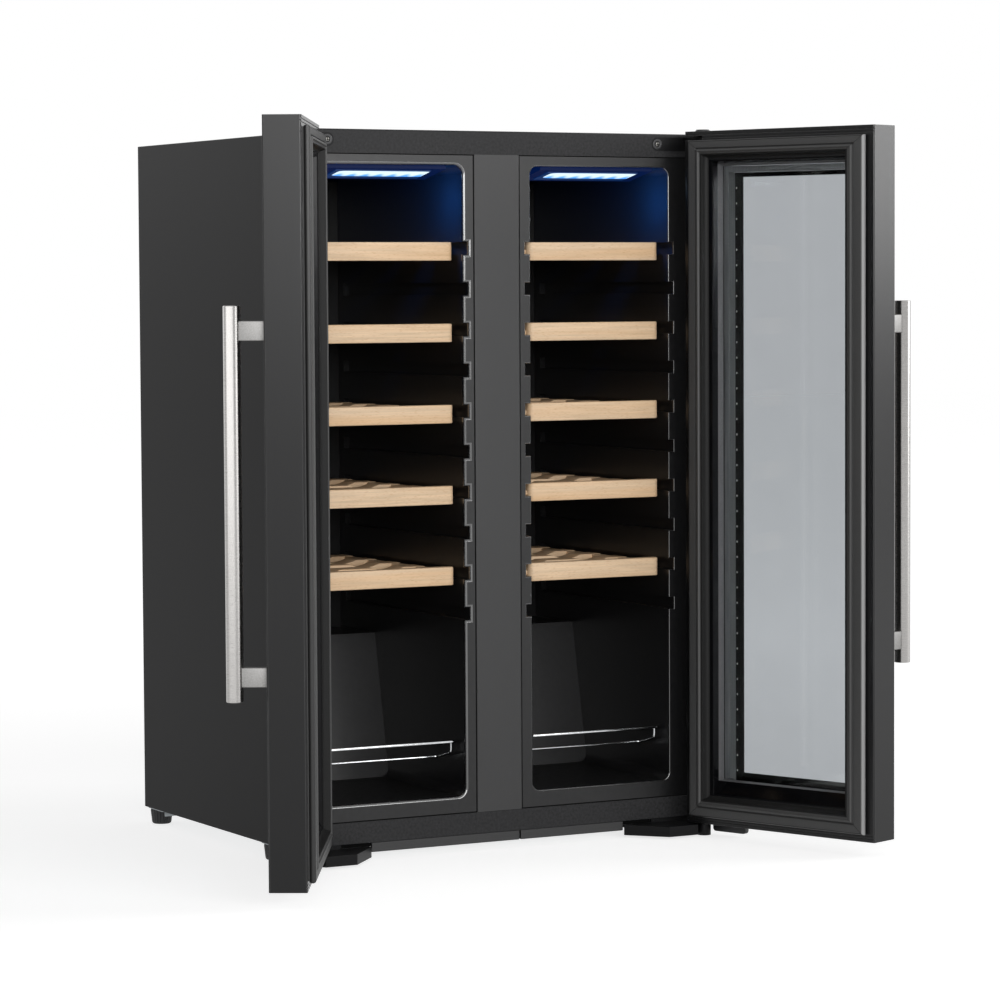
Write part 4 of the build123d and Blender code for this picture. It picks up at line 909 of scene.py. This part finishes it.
class COOLER_OT_wires(bpy.types.Operator):
    """Make the chrome wire bottle retainers"""

    bl_idname = "cooler.wires"
    bl_label = "Wire retainers"

    def execute(self, context):
        finish = plain("chrome_plate")
        # Bends of one half of a retainer: the upper wire ends in the liner, the lower one props it up
        arm, front, top, bend = 85.5, FRONT + 14, 127.0, 5.0
        upper = [(arm, front, top), (arm, front + 48, top - 8), (ZONE_HALF, front + 48, top - 8)]
        lower = [(arm, front + 44, top - 22), (arm, front + 10, top - 14), (arm, front + 10, top - 1.7)]
        parts = []
        for hand in SIDES.values():
            for bends, radius in ((upper, 1.75), (lower, 1.5)):
                right = [(hand * ZONE_X + x, y, z) for x, y, z in bends]
                left = [(hand * ZONE_X - x, y, z) for x, y, z in reversed(bends)]
                parts.append(tube(bent(left + right, bend), radius))
        piece("chrome_retainers", parts, finish, "cabinet", ["wire_racks"])
        return {"FINISHED"}


class COOLER_OT_shelves(bpy.types.Operator):
    """Make the beech shelves"""

    bl_idname = "cooler.shelves"
    bl_label = "Shelves"

    def execute(self, context):
        scene = context.scene
        finish = beech(scene.cooler_colours, scene.cooler_sizes)
        edge = scene.cooler_sizes.rail_edge / MM
        for side, hand in SIDES.items():
            for level in range(1, SHELF_LEVELS + 1):
                name = f"shelf_{side}_{level}"
                parts = self.timber(*corners(name), edge, 700.0 * level + 191.0 * hand)
                piece(f"beech_{name}", parts, finish, name, [name])
        return {"FINISHED"}

    def timber(self, low, high, edge, shift):
        """Front rail, side bars with tongues, and slats; each is cut from its own stretch of grain."""
        half, rail, rail_round, bar, slat_width, slats = 87.5, 14.0, 7, 12.0, 30.0, 5
        x_mid = (low[0] + high[0]) / 2
        top = high[2]
        rack = low[1] + rail
        slat_low, slat_top = top - 14, top - 4
        rail_low, rail_high = (x_mid - half, low[1], low[2]), (x_mid + half, rack, top)
        rounds = (rail_round, rail_round, edge, edge)
        parts = [slab(rail_low, rail_high, edge, 2, rounds, shift=shift)]
        # A tongue is narrow in front and wide from the step on; its front end differs from side to side
        narrow, wide, step, rooted, tongue_edge = 94.1, 98.0, rack + 175, 3, 0.6
        tongue_low, tongue_top = top - 13.7, top - 8.7
        for end, tongue_front in ((-1, low[1] + 7), (1, rack + 12)):
            out = sorted((x_mid + end * half, x_mid + end * (half - bar)))
            box = ((out[0], rack - 1, slat_low + 0.4), (out[1], high[1] - 0.3, slat_top - 0.6))
            parts.append(slab(*box, edge, 1, length_axis=1, shift=shift + 90 * end))
            for reach, y0, y1 in ((narrow, tongue_front, step), (wide, step, high[1])):
                run = sorted((x_mid + end * (half - rooted), x_mid + end * reach))
                box = ((run[0], y0, tongue_low), (run[1], y1, tongue_top))
                parts.append(slab(*box, tongue_edge, 1, length_axis=1, shift=shift + 40 * end))
        for n, y in enumerate(np.linspace(rack, high[1] - slat_width, slats)):
            place = (x_mid, half, y, slat_width, slat_low, slat_top)
            parts.append(self.slat(*place, edge, shift + 33 * n))
        return parts

    @staticmethod
    def slat(x_mid, half, y, width, low, top, edge, shift):
        """Rounded section carried along x; its height follows the two round cradles cut in its top."""
        cradle_radius, cradle_depth, cradle_x = 45.0, 4.0, 41.0
        x = np.linspace(-half, half, 71)
        off = np.clip(np.abs(np.abs(x) - cradle_x), 0, cradle_radius)
        sunk = np.clip(cradle_depth - cradle_radius + np.sqrt(cradle_radius**2 - off**2), 0, None)
        flat = outline((y, 0.0), (y + width, top - low), (edge,) * 4, [0.0])[0]
        share = flat[:, 1] / (top - low)
        height = low + (top - low - sunk)[:, None] * share[None]
        across = np.repeat((x_mid + x)[:, None], len(flat), 1)
        along = np.repeat(flat[None, :, 0], len(x), 0)
        return surface(np.stack([across, along, height], -1), shift=shift)


class COOLER_OT_screws(bpy.types.Operator):
    """Make the cross-recessed screws"""

    bl_idname = "cooler.screws"
    bl_label = "Screws"

    def execute(self, context):
        finish = plain("zinc_plate")
        hinge_x, hinge_z, sunk, small, large = 214.5, 815.0, 0.62, 2.5, 3.2
        places = [(hand * hinge_x, FRONT, hinge_z) for hand in SIDES.values()]
        hinge = [self.head((x, y + sunk, z), small, -1) for x, y, z in places]
        piece("hinge_screws", hinge, finish, "cabinet")
        bosses = [self.boss(place) for place in places]
        piece("hinge_bosses", bosses, plain("black_nylon"), "cabinet")
        low, high = corners("back_panel")
        skin, side_in, low_in, high_in = low[1] + 1.0, 12, 8, 9
        xs = np.linspace(low[0] + side_in, high[0] - side_in, 5)
        rear = [(x, z) for x in xs for z in (low[2] + low_in, high[2] - high_in)]
        rear += [(x, z) for x in (xs[0], xs[-1]) for z in np.linspace(low[2], high[2], 6)[1:-1]]
        grille_low, grille_high = corners("rear_grille")
        rear += [(x, grille_low[2] + low_in) for x in xs]
        rear += [(x, grille_high[2] - low_in) for x in xs]
        back = [self.head((x, skin, z), large, 1) for x, z in rear]
        piece("rear_screws", back, finish, "cabinet")
        return {"FINISHED"}

    @staticmethod
    def boss(centre):
        """Low ring of an oval section about the screw, turned about a line along y."""
        turn = np.linspace(0, 2 * math.pi, 14, endpoint=False)
        angle = np.linspace(0, 2 * math.pi, 48, endpoint=False)[:, None]
        ring, wide, proud = 4.6, 1.6, 0.45
        radius = ring + wide * np.cos(turn)[None]
        x = centre[0] + radius * np.cos(angle)
        y = centre[1] + np.repeat(proud * np.sin(turn)[None], len(angle), 0)
        z = centre[2] + radius * np.sin(angle)
        return surface(np.stack([x, y, z], -1), closed=True)

    @staticmethod
    def head(centre, radius, facing):
        """Pan head: a dome over a disc, sunk along two crossed bars; it faces along -y or +y."""
        share = np.array([1.0, 1.0, 0.94, 0.8, 0.64, 0.5, 0.38, 0.26, 0.12])
        dome = np.array([0.0, 0.35, 0.62, 0.86, 0.95, 0.98, 1.0, 1.0, 1.0])
        angle = np.linspace(0, 2 * math.pi, 48, endpoint=False)
        a = radius * share[:, None] * np.cos(angle)
        b = radius * share[:, None] * np.sin(angle)
        arm, arm_end, tall, deep = 0.15 * radius, 0.7, 0.42 * radius, 0.3 * radius
        cut = (np.minimum(np.abs(a), np.abs(b)) < arm) & (share < arm_end)[:, None]
        height = tall * dome[:, None] - np.where(cut, deep, 0)
        rings = np.stack([centre[0] + a, centre[1] + facing * height, centre[2] + b], -1)
        return surface(rings)


class COOLER_OT_stage(bpy.types.Operator):
    """Set the floor, the studio light and the camera"""

    bl_idname = "cooler.stage"
    bl_label = "Studio"

    def execute(self, context):
        scene = context.scene
        stage = scene.cooler_stage
        self.floor()
        self.room(scene, stage.sky)
        # Each box stands upright, and its lower edge is what draws the ramp on the dark coats
        front = self.soft_box("front_box", (-0.7, -5.6, 1.6), 0, (7.0, 1.7), stage.front)
        link_light(front, [f"bar_handle_{side}" for side in SIDES], "EXCLUDE")
        self.soft_box("right_box", (4.0, -1.7, 1.75), 67, (1.8, 2.1), stage.right)
        self.soft_box("rear_box", (-2.4, 4.6, 2.2), 208, (2.6, 2.6), stage.rear)
        # Two dimmer boxes draw the bands on the left handle, which the front box would burn out
        for name, place, turn, size in (
            ("handle_box_left", (-3.82, -2.62, 1.2), -58, (9.2, 2.1)),
            ("handle_box_right", (2.35, -3.38, 1.2), 44, (3.2, 2.1)),
        ):
            link_light(self.soft_box(name, place, turn, size, stage.handle), ["bar_handle_left"], "INCLUDE")
        self.camera(scene)
        scene.view_settings.view_transform = "Standard"
        return {"FINISHED"}

    @staticmethod
    def seen(tree):
        """One where a camera, a mirror or a pane looks at the surface, and nought where it only lights."""
        either = {"operation": "MAXIMUM"}
        path = add(tree, "ShaderNodeLightPath")
        looks = {0: (path, "Is Camera Ray"), 1: (path, "Is Glossy Ray")}
        mirror = add(tree, "ShaderNodeMath", either, looks)
        return add(tree, "ShaderNodeMath", either, {0: (mirror, 0), 1: (path, "Is Transmission Ray")})

    def floor(self):
        """Pale matt floor that keeps the shadow and reads white where it is seen."""
        half = 14.0
        mesh = bpy.data.meshes.new("floor")
        points = [(-half, -half, 0), (half, -half, 0), (half, half, 0), (-half, half, 0)]
        mesh.from_pydata(points, [], [(0, 1, 2, 3)])
        made = bpy.data.materials.new("matt_paper")
        made.use_nodes = True
        tree = made.node_tree
        tree.nodes.clear()
        paper = add(tree, "ShaderNodeBsdfDiffuse", inputs={"Color": rgba(linear("BCBCBC"))})
        # The paper is lit less further out, so it is lifted more there
        place = add(tree, "ShaderNodeTexCoord")
        away = add(tree, "ShaderNodeVectorMath", {"operation": "LENGTH"}, {0: (place, "Object")})
        ramp = {"From Min": 0.8, "From Max": 2.4, "To Min": 0.74, "To Max": 0.87}
        level = add(tree, "ShaderNodeMapRange", inputs={"Value": (away, "Value"), **ramp})
        factors = {0: (self.seen(tree), 0), 1: (level, "Result")}
        lift = add(tree, "ShaderNodeMath", {"operation": "MULTIPLY"}, factors)
        glow = add(tree, "ShaderNodeEmission", inputs={"Strength": (lift, 0)})
        both = add(tree, "ShaderNodeAddShader", inputs={0: (paper, 0), 1: (glow, 0)})
        add(tree, "ShaderNodeOutputMaterial", inputs={"Surface": (both, 0)})
        mesh.materials.append(made)
        floor = bpy.data.objects.new("floor", mesh)
        bpy.context.scene.collection.objects.link(floor)

    def room(self, scene, sky):
        """White room: it is seen at full white and lights the object more softly."""
        world = bpy.data.worlds.new("white_room")
        world.use_nodes = True
        tree = world.node_tree
        tree.nodes.clear()
        span = {"Value": (self.seen(tree), 0), "To Min": sky, "To Max": 1.0}
        level = add(tree, "ShaderNodeMapRange", inputs=span)
        shine = {"Color": (1, 1, 1, 1), "Strength": (level, "Result")}
        white = add(tree, "ShaderNodeBackground", inputs=shine)
        add(tree, "ShaderNodeOutputWorld", inputs={"Surface": (white, 0)})
        scene.world = world

    @staticmethod
    def soft_box(name, place, turn, size, radiance):
        """Upright soft box, turned about the vertical from facing the back; power from its radiance."""
        lamp = bpy.data.lights.new(name, "AREA")
        lamp.shape = "RECTANGLE"
        lamp.size, lamp.size_y = size
        lamp.energy = radiance * math.pi * size[0] * size[1]
        made = bpy.data.objects.new(name, lamp)
        made.location = place
        made.rotation_euler = (math.radians(90), 0, math.radians(turn))
        made.visible_camera = False
        bpy.context.scene.collection.objects.link(made)
        return made

    @staticmethod
    def camera(scene):
        """Camera from its place, yaw, pitch and roll; the lens fits a 36 mm sensor."""
        lens = bpy.data.cameras.new("camera")
        lens.sensor_width = 36.0
        lens.lens = 132.715
        lens.clip_end = 100.0
        yaw, pitch, roll = (math.radians(a) for a in (28.4243, -3.3482, -0.3066))
        level_part = math.cos(pitch)
        ahead = Vector((math.sin(yaw) * level_part, math.cos(yaw) * level_part, math.sin(pitch)))
        level = Vector((math.cos(yaw), -math.sin(yaw), 0))
        up = level.cross(ahead)
        right = level * math.cos(roll) + up * math.sin(roll)
        over = -level * math.sin(roll) + up * math.cos(roll)
        made = bpy.data.objects.new("camera", lens)
        turn = Matrix((right, over, -ahead)).transposed().to_4x4()
        made.matrix_world = Matrix.Translation((-2.01354, -3.95222, 0.65213)) @ turn
        scene.collection.objects.link(made)
        scene.camera = made


OPERATORS = (
    COOLER_OT_cabinet,
    COOLER_OT_lamps,
    COOLER_OT_cooling,
    COOLER_OT_doors,
    COOLER_OT_gaskets,
    COOLER_OT_handles,
    COOLER_OT_feet,
    COOLER_OT_wires,
    COOLER_OT_shelves,
    COOLER_OT_screws,
    COOLER_OT_stage,
)


class COOLER_PT_panel(bpy.types.Panel):
    """Lists the cooler's operators"""

    bl_label = "Wine cooler"
    bl_idname = "COOLER_PT_panel"
    bl_space_type = "VIEW_3D"
    bl_region_type = "UI"
    bl_category = "Wine cooler"

    def draw(self, context):
        for operator in OPERATORS:
            self.layout.operator(operator.bl_idname)


GROUPS = {"cooler_colours": CoolerColours, "cooler_sizes": CoolerSizes, "cooler_stage": CoolerStage}


def register():
    """Register the classes and hang the property groups on the scene."""
    for made in (*GROUPS.values(), *OPERATORS, COOLER_PT_panel):
        bpy.utils.register_class(made)
    for name, group in GROUPS.items():
        setattr(bpy.types.Scene, name, PointerProperty(type=group))


def unregister():
    """Undo what register did."""
    for name in GROUPS:
        delattr(bpy.types.Scene, name)
    for made in (COOLER_PT_panel, *reversed(OPERATORS), *GROUPS.values()):
        bpy.utils.unregister_class(made)


def main():
    register()
    for operator in OPERATORS:
        group, name = operator.bl_idname.split(".")
        getattr(getattr(bpy.ops, group), name)()


if __name__ == "__main__":
    main()
